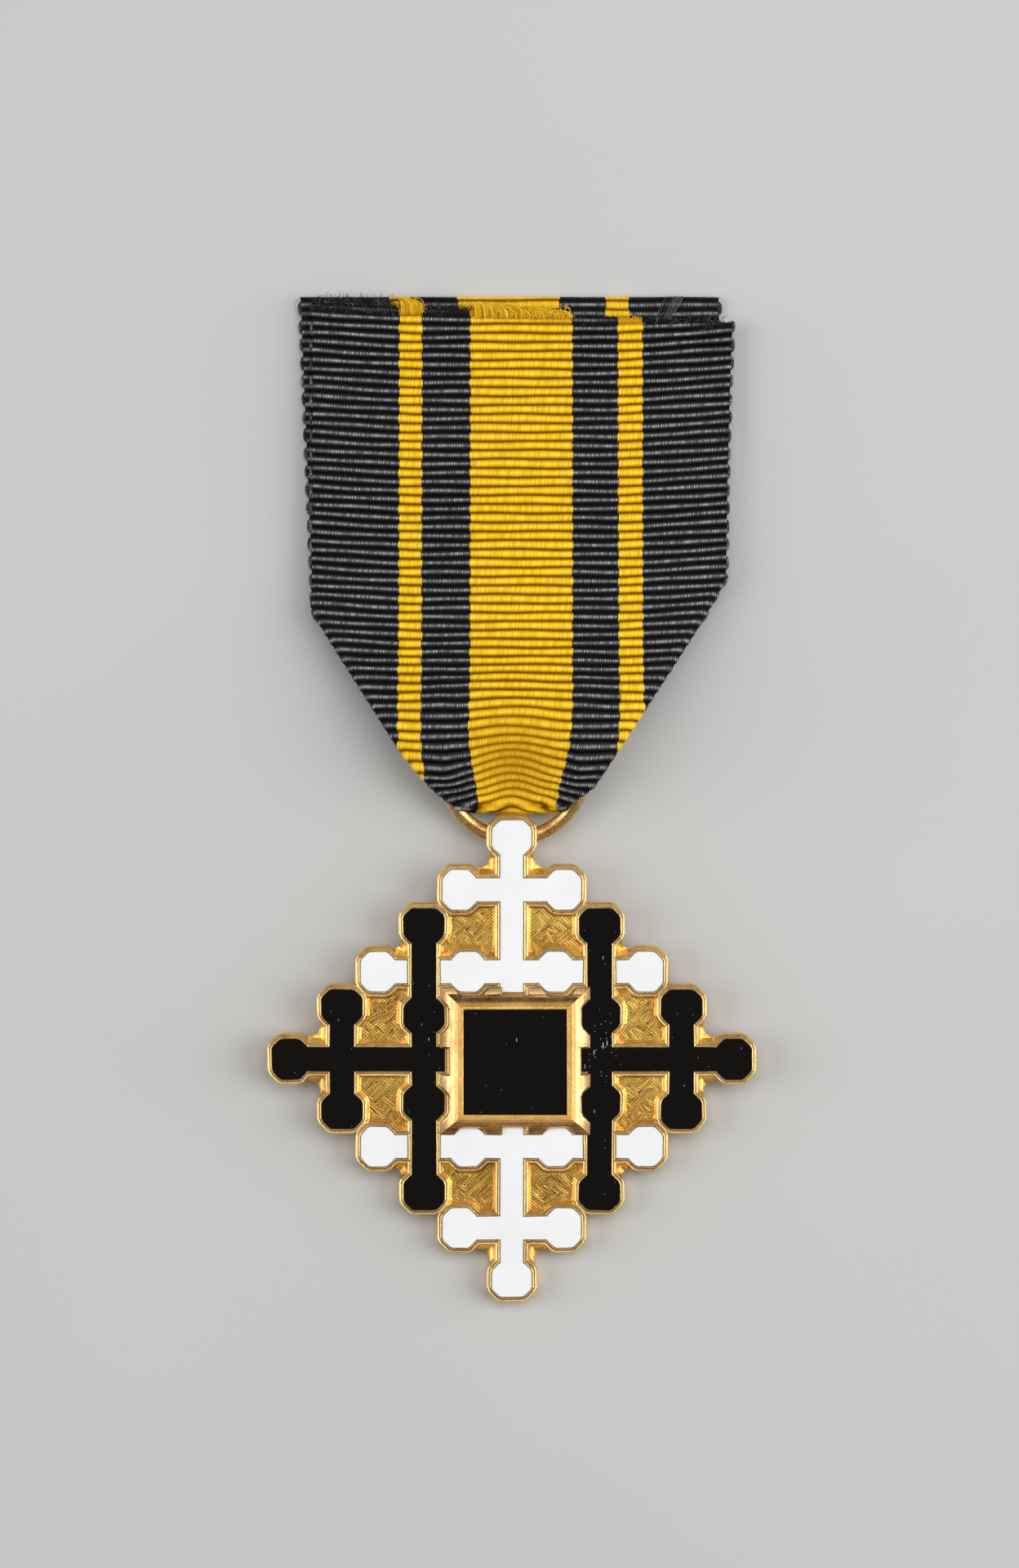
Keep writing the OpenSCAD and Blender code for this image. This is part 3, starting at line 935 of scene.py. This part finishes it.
# Patches of loose threads, between two corners in photo pixels: how many, the corners, least and most
# height and length, and for some their tones, their heading and how far it strays
FUZZ = [
    (900, (380, 364), (486, 384), (1.2, 1.66), (0.2, 0.6)),
    (260, (518, 372), (578, 386), (1.2, 1.6), (0.2, 0.6)),
    (450, (702, 388), (885, 404), (1.3, 1.66), (0.2, 0.6)),
    (60, (490, 369), (516, 376), (1.6, 1.8), (0.3, 0.7), BRIGHT_SHINE, (2.5, 0.5)),
    (160, (581, 376), (699, 384), (1.6, 1.8), (0.3, 0.7), BRIGHT_SHINE, (2.7, 0.6)),
    (12, (724, 958), (729, 964), (4.2, 4.5), (0.1, 0.3), BRIGHT_SHINE, (0, 2)),
]
# Bare warp of the yellow stripes, in photo pixels: first and last column, the row where it leaves the
# cloth, and the rows where the first and last strand end; then how many strands
COMBED = [((490, 516), 386, (365, 367), 60), ((582, 699), 391, (370, 383), 190)]
# Ends of the loose bundle's first strand, in photo pixels
BUNDLE_FOOT = (804, 394)
BUNDLE_HEAD = (818, 361)
BUNDLE_STRANDS = 13


class Threads:
    """Many round threads joined in one mesh."""

    def __init__(self, sides):
        self.sides, self.tubes, self.numbers = sides, [], []

    def add(self, path, radius, across, rib, woven=1.0):
        """One thread along a path. Its radius and its place across may be lists, one for each point."""
        n, length = self.sides, len(path)
        run = np.gradient(path, axis=0)
        run /= np.linalg.norm(run, axis=1, keepdims=True)
        side = np.cross(run, [0.12, 0.18, 0.97])
        side /= np.linalg.norm(side, axis=1, keepdims=True)
        radius = np.broadcast_to(radius, length)[:, None]
        rings = []
        for k in range(n):
            right, up = toward(2 * math.pi * k / n)
            rings.append(path + radius * (right * side + up * np.cross(side, run)))
        points = np.stack(rings, axis=1).reshape(-1, 3)
        faces = [(a, d, c, b) for a, b, c, d in grid_cells(length, n, False)]
        faces += [range(n), range(length * n - 1, (length - 1) * n - 1, -1)]
        self.tubes.append((points, faces))
        numbers = [np.broadcast_to(number, length) for number in (across, rib, woven)]
        self.numbers.append(np.repeat(numbers, n, axis=1))

    def piece(self, name, material):
        return cloth_piece(name, *join(self.tubes), material, *np.hstack(self.numbers))


def selvage_arcs(threads, edge, ribs, outward, low, high):
    """Threads that turn at the selvage from one rib into the next, along an edge of the cloth."""
    start = math.ceil(ribs[0])
    for count in range(start + start % 2, int(ribs[-1]), 2):
        before, middle, after = (point_on(edge, ribs, count + k) for k in (-0.62, 0, 0.62))
        if not low < middle[1] < high:
            continue
        reach = (after - before) / 2
        depth = SELVAGE_OUT * dice.uniform(0.8, 1.1)
        a = np.radians(-105 + 21 * np.arange(11))[:, None]
        path = middle + reach * np.sin(a) + outward * depth * np.cos(a) * [1, 0, 0] + [0, 0, 0.05]
        radius = SELVAGE_R * (0.75 + 0.25 * np.cos(np.linspace(-1.4, 1.4, 11)))
        across = THREAD * (0.5 + 0.9 * np.arange(11)) + 0.3
        # The part of a rib picks the cloth's painted shade or glint for the arc
        threads.add(path, radius, across, math.floor(count) + dice.uniform(0.22, 0.34))


def photo_place(column, row):
    """The place of a photo pixel in millimetres from the cross's middle."""
    return (column - CROSS_PIXEL[0]) / PIXELS_PER_MM, (CROSS_PIXEL[1] - row) / PIXELS_PER_MM


def flat_at_cut(x):
    """How far across the flat cloth a thread lies that leaves the front's cut edge at x."""
    return np.interp(x, FRONT_LINES[0, 1:], FLAT)


def loose_thread(threads, start, heading, length, bend, rise, across, shine, radius=0.03):
    """One loose thread that leaves a point at a heading and bends on its way. shine gives the least
    and the most of its brightness, as the part of a rib that it is painted like."""
    ahead = np.array([*toward(heading), 0])
    beside = np.array([-ahead[1], ahead[0], 0])
    t = np.linspace(0, 1, 6)[:, None]
    up = rise * t * (2 - t) / 2 * [0, 0, 1]
    path = start + length * (t * ahead + bend * t * t * beside + up)
    across = THREAD * (math.floor(across / THREAD) + 0.5)
    taper = radius * np.array([1, 1, 1, 0.95, 0.8, 0.5])
    threads.add(path, taper, across, dice.randrange(40) + dice.uniform(*shine))


def cut_ends(threads, row, away, count, length, rise):
    """The short ends of the warp along a cut edge, which row follows. away is their mean heading."""
    for k in range(count):
        across = (k + dice.random()) * FLAT[-1] / count
        start = point_on(row[:3].T, row[3], across)
        heading = away + dice.gauss(0, 0.7)
        reach = length * dice.uniform(0.3, 1.0) * (2.0 if dice.random() < 0.04 else 1)
        start[1] -= 0.12
        loose_thread(threads, start, heading, reach, dice.gauss(0, 0.5), dice.uniform(*rise), across,
                     DIM_SHINE)


def fuzz(threads, count, low, high, height, length, shine=DIM_SHINE, heading=(0, 0.7)):
    """A patch of loose threads. Their headings stray from one direction or its opposite."""
    for _ in range(count):
        x, y = photo_place(dice.uniform(low[0], high[0]), dice.uniform(low[1], high[1]))
        start = np.array([x, y, dice.uniform(*height)])
        turn = heading[0] + dice.gauss(0, heading[1]) + math.pi * dice.randrange(2)
        loose_thread(threads, start, turn, dice.uniform(*length), dice.uniform(-1.1, 1.1),
                     dice.uniform(-0.05, 0.12), flat_at_cut(x), shine, 0.018)


def warp_bundle(threads):
    """The bundle of loose shiny warp that lies across the back layer at its right."""
    t = np.linspace(0, 1, 8)[:, None]
    for k in range(BUNDLE_STRANDS):
        column, row = BUNDLE_FOOT
        foot = np.array([*photo_place(column + 1.1 * k, row), BACK_Z + 0.5])
        column, row = BUNDLE_HEAD
        head = np.array([*photo_place(column + 1.7 * k + dice.uniform(-2, 2), row), BACK_Z + 0.45])
        bulge = np.array([-0.2 + 0.03 * k, 0.1, 0.1 + 0.08 * dice.random()])
        path = foot + t * (head - foot) + 4 * t * (1 - t) * bulge
        # The part of a rib picks the cloth's painted shade or glint for each strand
        threads.add(path, 0.03, 0.4 + THREAD * (k + 0.1), 3 + dice.uniform(0.10, 0.36))


def combed(threads, columns, foot, tops, strands):
    """Bare warp of a yellow stripe, which lies combed over to the left."""
    for k in range(strands):
        share = k / (strands - 1)
        x, y = photo_place(np.interp(share, (0, 1), columns) + dice.uniform(-1, 1),
                           foot - dice.uniform(0, 4))
        rise = (foot - np.interp(share, (0, 1), tops)) / PIXELS_PER_MM * dice.uniform(0.7, 1.0)
        over = 0.3 + 0.9 * share * dice.uniform(0.5, 1.0) + dice.gauss(0, 0.3)
        t = np.linspace(0, 1, 9)
        path = np.stack([x + 0.35 * share * np.sin(math.pi * t) - over * t ** 2,
                         y + rise * np.sin(t * math.pi / 2),
                         1.72 + 0.14 * np.sin(math.pi * t) + dice.uniform(0, 0.12)], axis=1)
        # The part of a rib picks the cloth's painted shade or glint for each strand
        threads.add(path, 0.033, flat_at_cut(x), dice.uniform(0.2, 0.5), dice.uniform(0.3, 0.8))


def flattened_and_shaded(x, y):
    """How far the ribs are flattened and given painted shade where the cloth bends down inside the
    ring.
    """
    return (1 - (abs(x - 0.3) / 4.6) ** 2).clip(0, 1) * read(FLATTEN_AND_SHADE, y)


def cloth_sheet():
    """The whole ribbon as a grid of points with flat places, its rib counts, how many of its rows are
    the front's, and how many columns each flap has."""
    grid, ribs = front_grid()
    front = turned_under(grid)
    flap = (front.shape[2] - grid.shape[2]) // 2
    ribs = np.pad(ribs, ((0, 0), (flap, flap)), mode="edge")
    more, counts = loop_rows(ribs[-1])
    sheet = np.concatenate([front, more])
    return sheet, wavy(sheet[:, 3], np.concatenate([ribs, counts])), len(front), flap


def make_cloth(material, sheet, ribs, count, flap):
    """The cloth itself: bare at the cut edge, flatter and with painted shade in the ring, and flatter
    at the folds.
    """
    front = sheet[:count]
    woven, relief = np.ones((2, *ribs.shape))
    woven[:count] = ((np.arange(count) / (RIB_STEPS * BARE_RIBS)).clip(0, 1) ** 2)[:, None]
    # Inside the ring woven is lowered, which flattens the ribs and gives their colour painted shade
    woven[:count] -= flattened_and_shaded(front[:, 0], front[:, 1])
    turn = eased(front[:, 1, flap], FRONT, 6, 0.5).clip(0, 1)
    from_middle = abs(np.linspace(-1, 1, ribs.shape[1]))
    folded = ((from_middle - FOLD_FROM) / FOLD_OVER).clip(0, 1)
    relief[:count] -= FOLD_FLATTER * folded * turn[:, None]
    points = np.stack(swollen(sheet, ribs, woven, relief)).reshape(-1, 3)
    numbers = [np.tile(values.reshape(-1), 2) for values in (sheet[:, 3], ribs, woven)]
    return cloth_piece("ribbon_cloth", points, slab_faces(*ribs.shape), material, *numbers)


def make_selvage(material, sheet, ribs, count):
    """The woven side edges of both layers."""
    arcs = Threads(6)
    for side, outward in ((0, -1), (-1, 1)):
        edge = sheet[:, :3, side]
        selvage_arcs(arcs, edge[:count], ribs[:count, side], outward, *FRONT_SELVAGE)
        selvage_arcs(arcs, edge[count:], ribs[count:, side], outward, *BACK_SELVAGE)
    return arcs.piece("ribbon_selvage", material)


# Short threads at the front's and the back's cut edge: how many, their length, least and most rise
FRONT_FRAY = (560, 0.3, (-0.3, 0.4))
BACK_FRAY = (260, 0.12, (0, 0.4))


def make_fray(material, sheet):
    """The loose threads of both cut ends."""
    loose = Threads(4)
    up = math.pi / 2
    cut_ends(loose, sheet[0], up, *FRONT_FRAY)
    cut_ends(loose, sheet[-1], up, *BACK_FRAY)
    for patch in FUZZ:
        fuzz(loose, *patch)
    for stripe in COMBED:
        combed(loose, *stripe)
    warp_bundle(loose)
    return loose.piece("ribbon_fray", material)


def make_ribbon(material):
    sheet, ribs, count, flap = cloth_sheet()
    cloth = make_cloth(material, sheet, ribs, count, flap)
    edges = [make_selvage(material, sheet, ribs, count), make_fray(material, sheet)]


class Value:
    """A number or colour from a material's nodes. Arithmetic on it adds the nodes that work it out."""

    def __init__(self, paint, socket):
        self.paint, self.socket = paint, socket

    def worked(self, operation, *others):
        return self.paint.put("Math", dict(enumerate((self, *others))), operation=operation)

    __add__ = partialmethod(worked, "ADD")
    __sub__ = partialmethod(worked, "SUBTRACT")
    __mul__ = partialmethod(worked, "MULTIPLY")
    __truediv__ = partialmethod(worked, "DIVIDE")
    __lt__ = partialmethod(worked, "LESS_THAN")
    __gt__ = partialmethod(worked, "GREATER_THAN")
    __abs__ = partialmethod(worked, "ABSOLUTE")
    floor = partialmethod(worked, "FLOOR")
    fract = partialmethod(worked, "FRACT")
    zigzag = partialmethod(worked, "PINGPONG")
    most = partialmethod(worked, "MAXIMUM")

    def steps(self, low, high, start=0.0, end=1.0):
        """Runs from start to end while the value runs from low to high."""
        limits = {"From Min": low, "From Max": high, "To Min": start, "To Max": end}
        return self.paint.put("MapRange", {"Value": self, **limits})

    def beside(self, out):
        """Another output of the same node."""
        return Value(self.paint, self.socket.node.outputs[out])


class Paint:
    """Builds one material's nodes in short steps."""

    def __init__(self, name):
        self.material = bpy.data.materials.new(name)
        self.material.use_nodes = True
        self.nodes = self.material.node_tree.nodes
        self.links = self.material.node_tree.links
        self.shader = self.nodes["Principled BSDF"]

    def put(self, kind, inputs=None, out=0, **settings):
        node = self.nodes.new("ShaderNode" + kind)
        for key, value in settings.items():
            setattr(node, key, value)
        for key, value in (inputs or {}).items():
            self.feed(node.inputs[key], value)
        return Value(self, node.outputs[out])

    def feed(self, socket, value):
        if isinstance(value, Value):
            self.links.new(value.socket, socket)
        else:
            socket.default_value = (*value, 1) if socket.type == "RGBA" else value

    def set(self, **values):
        for key, value in values.items():
            self.feed(self.shader.inputs[key.replace("_", " ")], value)

    def mix(self, share, a, b, blend="MIX"):
        inputs = {0: share, 6: a, 7: b}
        return self.put("Mix", inputs, 2, data_type="RGBA", blend_type=blend)

    def shaded(self, colour, shade):
        return self.mix(1.0, colour, shade, "MULTIPLY")

    def ramp(self, value, stops):
        tone = self.put("ValToRGB", {"Fac": value})
        elements = tone.socket.node.color_ramp.elements
        for place, _ in stops[1:-1]:
            elements.new(place)
        for element, (place, colour) in zip(elements, stops):
            element.position, element.color = place, (*colour, 1)
        return tone

    def number(self, name):
        """The number that each point of the piece carries under this name."""
        return self.put("Attribute", out="Fac", attribute_name=name)

    def place(self):
        return self.put("TexCoord", out="Object")

    def vector(self, operation, *values, out=0):
        return self.put("VectorMath", dict(enumerate(values)), out, operation=operation)

    def noise(self, per_mm, detail=3.0, rough=0.5):
        scale = {"Scale": per_mm / MM, "Detail": detail, "Roughness": rough}
        return self.put("TexNoise", {"Vector": self.place(), **scale})

    def bump(self, height, depth_mm, strength=1.0):
        inputs = {"Height": height, "Distance": depth_mm * MM, "Strength": strength}
        self.set(Normal=self.put("Bump", inputs))


def gilt(name):
    """Starts a gilded material: its paint, a broad unevenness and a fine one."""
    paint = Paint(name)
    return paint, paint.noise(0.35, 4.0), paint.noise(9.0, 3.0, 0.6)


def blend(a, b, share):
    """Two values mixed, with this share of the second."""
    return a * (1 - share) + b * share


def finish_gilt(paint, colour, fine, rough, grain):
    """Polished gilding with a thin hazy layer, and grain of this depth in millimetres."""
    paint.set(Base_Color=colour, Metallic=1.0, Coat_Weight=0.4, Coat_Roughness=0.25)
    paint.set(Roughness=fine.steps(0.3, 0.7, -0.08, 0.12) + rough)
    paint.bump(fine, grain)
    return paint.material


# Tones of the worn walls and of the slopes below them, at each distance in millimetres from the enamel,
# with painted shade in the groove next to the enamel and painted highlights on the walls' two edges
WALL_SHADE_AND_HIGHLIGHTS = [
    (0.0, (0.20, 0.10, 0.02)),
    (0.035, (0.35, 0.19, 0.04)),
    (0.06, (1.0, 0.76, 0.38)),
    (0.10, (1.0, 0.70, 0.30)),
    (0.14, (0.72, 0.42, 0.11)),
    (0.28, (0.76, 0.45, 0.13)),
    (0.32, (1.0, 0.78, 0.38)),
    (0.37, (1.0, 0.72, 0.32)),
    (0.42, (0.90, 0.60, 0.20)),
    (0.60, (1.0, 0.72, 0.28)),
]
SLOPE_FOOT = 0.64


def plate_gilt():
    """The cross's gilding: painted highlights on wall edges and ridges, painted shade in the grooves.
    """
    paint, broad, fine = gilt("gilt_plate")
    share = blend(broad, fine, 0.5).steps(0.40, 0.60)
    colour = paint.mix(share, (0.76, 0.39, 0.06), (1.0, 0.60, 0.14))
    # Painted shade in the hatch's grooves and painted highlights on its ridges, from their heights
    floor = paint.shaded(colour, paint.number("ridge").steps(-1, 1, 0.2, 1.4))
    ragged = paint.noise(4.0, 3.0, 0.7).steps(0.3, 0.7, -0.03, 0.03)
    away = paint.number("away") + ragged
    # Painted shade in the groove by the enamel and painted highlights on the walls' edges
    wall = paint.shaded(paint.ramp(away, WALL_SHADE_AND_HIGHLIGHTS), share.steps(0, 1, 0.70, 1.12))
    return finish_gilt(paint, paint.mix(away < SLOPE_FOOT, floor, wall), fine, 0.34, 0.018)


def frame_gilt():
    """The centre frame's gilding: grainy with soft dents, duller on the lip, painted shade on slope and
    foot.
    """
    paint, broad, fine = gilt("gilt_frame")
    share = blend(broad, fine, 0.65).steps(0.42, 0.58)
    # The slope is painted darker than the lip: painted shade
    slope = paint.mix(share, (0.42, 0.22, 0.06), (0.76, 0.47, 0.21))
    lip = paint.mix(share, (0.62, 0.35, 0.08), (0.92, 0.59, 0.19))
    tier = paint.number("tier")
    # The flange at the foot is painted darker still: painted shade
    colour = paint.mix(tier.steps(0, 1), paint.shaded(slope, tier.steps(-1, 0, 0.65, 1.0)), lip)
    dented = blend(paint.noise(1.3, 0.0), fine, 0.4)
    return finish_gilt(paint, colour, dented, abs(tier).steps(0, 1, 0.28, 0.55), 0.028)


def ring_gilt():
    """The ring's gilding, with streaks along the drawn wire."""
    paint, broad, fine = gilt("gilt_ring")
    along = paint.put("CombineXYZ", {"X": paint.number("around"), "Y": broad * 0.05})
    streaks = paint.put("TexNoise", {"Vector": along, "Scale": 26.0, "Detail": 4.0})
    fine = blend(fine, streaks, 0.35)
    colour = paint.mix(fine.steps(0.42, 0.58), (0.42, 0.24, 0.06), (1.0, 0.72, 0.32))
    return finish_gilt(paint, colour, fine, 0.38, 0.03)


# Specks and scratches in the enamel: how many to the millimetre, size, squash and turn
SPECKS = [(2.2, 0.06, 1, 0), (1.1, 0.035, 0.2, 0.6), (0.9, 0.03, 0.16, 2.1), (1.3, 0.03, 0.25, 3.9)]
# Right of the frame the enamel is chipped more, within an oval that is 3.2 by 8.4 mm
CHIPS_AT = (8.0 * MM, (0.6 - MIDDLE_Y) * MM, 0)
CHIPS_SCALE = (1 / (1.6 * MM), 1 / (4.2 * MM), 0)


def enamel(name, colour, edge, speck, speck_share, rough, chipped=0.0):
    """Glossy enamel with a line of painted shade at its edge and a few specks and scratches. chipped is
    how much likelier the specks are right of the frame."""
    paint = Paint(name)
    place = paint.place()
    to_chips = paint.vector("MULTIPLY", paint.vector("SUBTRACT", place, CHIPS_AT), CHIPS_SCALE)
    reach = paint.vector("LENGTH", to_chips, out="Value")
    chance = reach.steps(0.5, 1.0, speck_share + chipped, speck_share)
    larger = chance * 1.3 + 1.0
    spots = []
    for per_mm, size, squash, turn in SPECKS:
        turned = {"Vector": place, "Rotation": (0, 0, turn), "Scale": (1, squash, 1)}
        cells = {"Vector": paint.put("Mapping", turned), "Scale": per_mm / MM}
        gap = paint.put("TexVoronoi", cells, "Distance", voronoi_dimensions="2D")
        pick = paint.put("SeparateColor", {"Color": gap.beside("Color")})
        spots.append((gap < larger * size) * (pick < chance))
    base = paint.shaded(colour, paint.noise(0.25, 2.0).steps(0.35, 0.65, 0.96, 1.0))
    away = paint.number("away")
    width, tone = edge
    # A line of painted shade just inside the edge, where the enamel meets the metal
    base = paint.mix((away > 0) * (away < width) * 0.8, base, tone)
    paint.set(Base_Color=paint.mix(reduce(Value.most, spots), base, speck), Roughness=rough)
    paint.bump(paint.noise(0.5, 2.0), 0.004)
    return paint.material


# The light yellow and grey are painted highlights on crests; the deepest tones are painted shade in
# valleys
YELLOW = (0.93, 0.56, 0.004)
YELLOW_HIGHLIGHT = (1.0, 0.92, 0.17)
YELLOW_BARE = (0.64, 0.27, 0.004)
YELLOW_SHADE = (0.12, 0.035, 0.002)
BLACK_GLINT = (0.68, 0.68, 0.70)
BLACK_BARE = (0.006, 0.005, 0.005)
BLACK_BODY = (0.016, 0.016, 0.017)
BLACK_SHADE = (0.002, 0.0017, 0.0017)
# How far the stripes' edges step from rib to rib, and how far a thread slants over one rib
STRIPE_STAGGER = 0.10
THREAD_SLANT = 0.7


def grosgrain():
    """Ribbed silk: stripes along the flat cloth, and warp threads that take turns over the ribs."""
    paint = Paint("ribbon_weave")
    across = paint.put("SeparateXYZ", {"Vector": paint.put("UVMap", uv_map="weave")})
    ribs = across.beside(1)
    row = ribs.floor()
    odd = row.zigzag(1.0)
    edge = (odd - 0.5) * STRIPE_STAGGER + (paint.noise(2.5) - 0.5) * 0.08
    stripes = [
        abs(across - (low + high) / 2) < edge + (high - low) / 2
        for low, high in zip(FLAT[1::2], FLAT[2::2])
    ]
    crest = (ribs + 0.08).zigzag(0.5) * 2.0
    count = across / THREAD + odd * 0.5 + ribs.fract() * THREAD_SLANT
    strand = count.zigzag(0.5) * 2.0
    own = paint.put("CombineXYZ", {"X": count.floor(), "Y": row})
    chance = paint.put("TexWhiteNoise", {"Vector": own}, noise_dimensions="2D")
    uneven = paint.noise(0.9, 3.0, 0.6).steps(0.35, 0.65, 0.55, 1.0)

    # Painted glints on the threads where they cross the ribs' crests
    glint = crest.steps(0.55, 0.95) * strand.steps(0.25, 0.75)
    glint = glint * chance.steps(0.1, 1.0, 0.3, 1.05) * uneven
    # Black darkens into the rib valleys: painted shade
    black = paint.mix(crest.steps(0.15, 0.5), BLACK_SHADE, BLACK_BODY)
    # Dark ticks between the threads near each valley, and a deeper yellow in the valleys: painted shade
    tick_shade = crest.steps(0.2, 0.6, 1.0, 0.0) * strand.steps(0.2, 0.8, 1.0, 0.0)
    body = crest.steps(-0.05, 0.35) * chance.steps(0.0, 1.0, 0.75, 1.0)
    yellow = paint.mix((body - tick_shade).most(0.0), YELLOW_SHADE, YELLOW)

    # woven is lower at the cut edge, where the warp is bare, and inside the ring, where it paints shade
    woven = paint.number("woven")
    # The bare warp gets painted shade between its strands
    line = strand.steps(0.0, 0.7, 0.35, 1.0)
    black = paint.mix(woven, paint.mix(line, BLACK_SHADE, BLACK_BARE), black)
    yellow = paint.mix(woven, paint.mix(line, YELLOW_SHADE, YELLOW_BARE), yellow)
    glint = glint * woven.steps(0.0, 0.4)
    black = paint.mix(glint, black, BLACK_GLINT)
    yellow = paint.mix(glint * 0.85, yellow, YELLOW_HIGHLIGHT)
    colour = paint.mix(reduce(Value.most, stripes), black, yellow)
    paint.set(Base_Color=colour, Roughness=0.5, Specular_IOR_Level=0.05)
    paint.bump(strand * crest.steps(0, 1, 0.6, 1.0), 0.05, 0.6)
    return paint.material


def floor_paint():
    paint = Paint("floor_pale")
    shade = paint.noise(0.02, 2.0).steps(0.3, 0.7, 0.97, 1.0)
    paint.set(Base_Color=paint.shaded((0.50, 0.50, 0.49), shade), Roughness=0.85)
    return paint.material


# Half the floor's width in metres
FLOOR_SIZE = 3.0


def make_floor():
    points = [(i * FLOOR_SIZE, j * FLOOR_SIZE, 0) for i, j in ((-1, -1), (1, -1), (1, 1), (-1, 1))]
    mesh = bpy.data.meshes.new("floor")
    mesh.from_pydata(points, [], [(0, 1, 2, 3)])
    mesh.materials.append(floor_paint())
    link("floor", mesh)


def softbox(name, place, size, power, tint=(1, 1, 1)):
    """A soft rectangular light that aims at the middle of the badge."""
    data = bpy.data.lights.new(name, "AREA")
    data.shape = "RECTANGLE"
    data.size, data.size_y = size
    data.energy = power
    data.color = tint
    lamp = link(name, data)
    lamp.location = place
    lamp.rotation_euler = (-Vector(place)).to_track_quat("-Z", "Y").to_euler()


def make_lights():
    softbox("key_right", (0.50, 0.03, 0.32), (0.4, 0.6), 3.6)
    softbox("fill_left", (-0.53, 0.03, 0.30), (0.4, 0.6), 2.8)
    softbox("top", (0.05, 0.30, 0.74), (0.6, 0.4), 2.5)
    softbox("warm_low", (0.0, -0.55, 0.16), (0.5, 0.15), 0.12, tint=(1.0, 0.6, 0.28))
    world = bpy.data.worlds.new("studio")
    world.use_nodes = True
    background = world.node_tree.nodes["Background"].inputs
    background["Color"].default_value = (0.95, 0.97, 1.0, 1)
    background["Strength"].default_value = 0.10
    bpy.context.scene.world = world
    bpy.context.scene.view_settings.view_transform = "Standard"


PHOTO_LONG = 1920
PHOTO_MIDDLE = (-0.2, 1.24)
FRONT_Z = 2.0
LENS = 100.0
SENSOR = 36.0


def make_camera():
    data = bpy.data.cameras.new("camera")
    data.lens = LENS
    data.sensor_width = SENSOR
    data.clip_start = 0.01
    data.clip_end = 10
    camera = link("camera", data)
    height = FRONT_Z + LENS / SENSOR * PHOTO_LONG / PIXELS_PER_MM
    camera.location = (PHOTO_MIDDLE[0] * MM, PHOTO_MIDDLE[1] * MM, height * MM)
    bpy.context.scene.camera = camera


make_camera()
make_floor()
make_lights()

# Each enamel's second argument gives the width and colour of its painted shade line at the edge
white_enamel = enamel("enamel_white", (0.82, 0.825, 0.83), (0.04, (0.22, 0.19, 0.16)),
                      (0.5, 0.5, 0.48), 0.008, 0.1)
black_enamel = enamel("enamel_black", (0.004, 0.0026, 0.0024), (0.03, (0.02, 0.014, 0.008)),
                      (0.35, 0.33, 0.32), 0.03, 0.07, 0.35)

make_cross(plate_gilt())
make_frame(frame_gilt())
for cell in CELLS:
    if cell.startswith("white"):
        make_enamel(cell, white_enamel, "white_enamel")
    else:
        make_enamel(cell, black_enamel, "black_enamel")
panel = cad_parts["centre_panel"].data
panel.materials.clear()
panel.materials.append(black_enamel)
make_ring(ring_gilt())
make_ribbon(grosgrain())
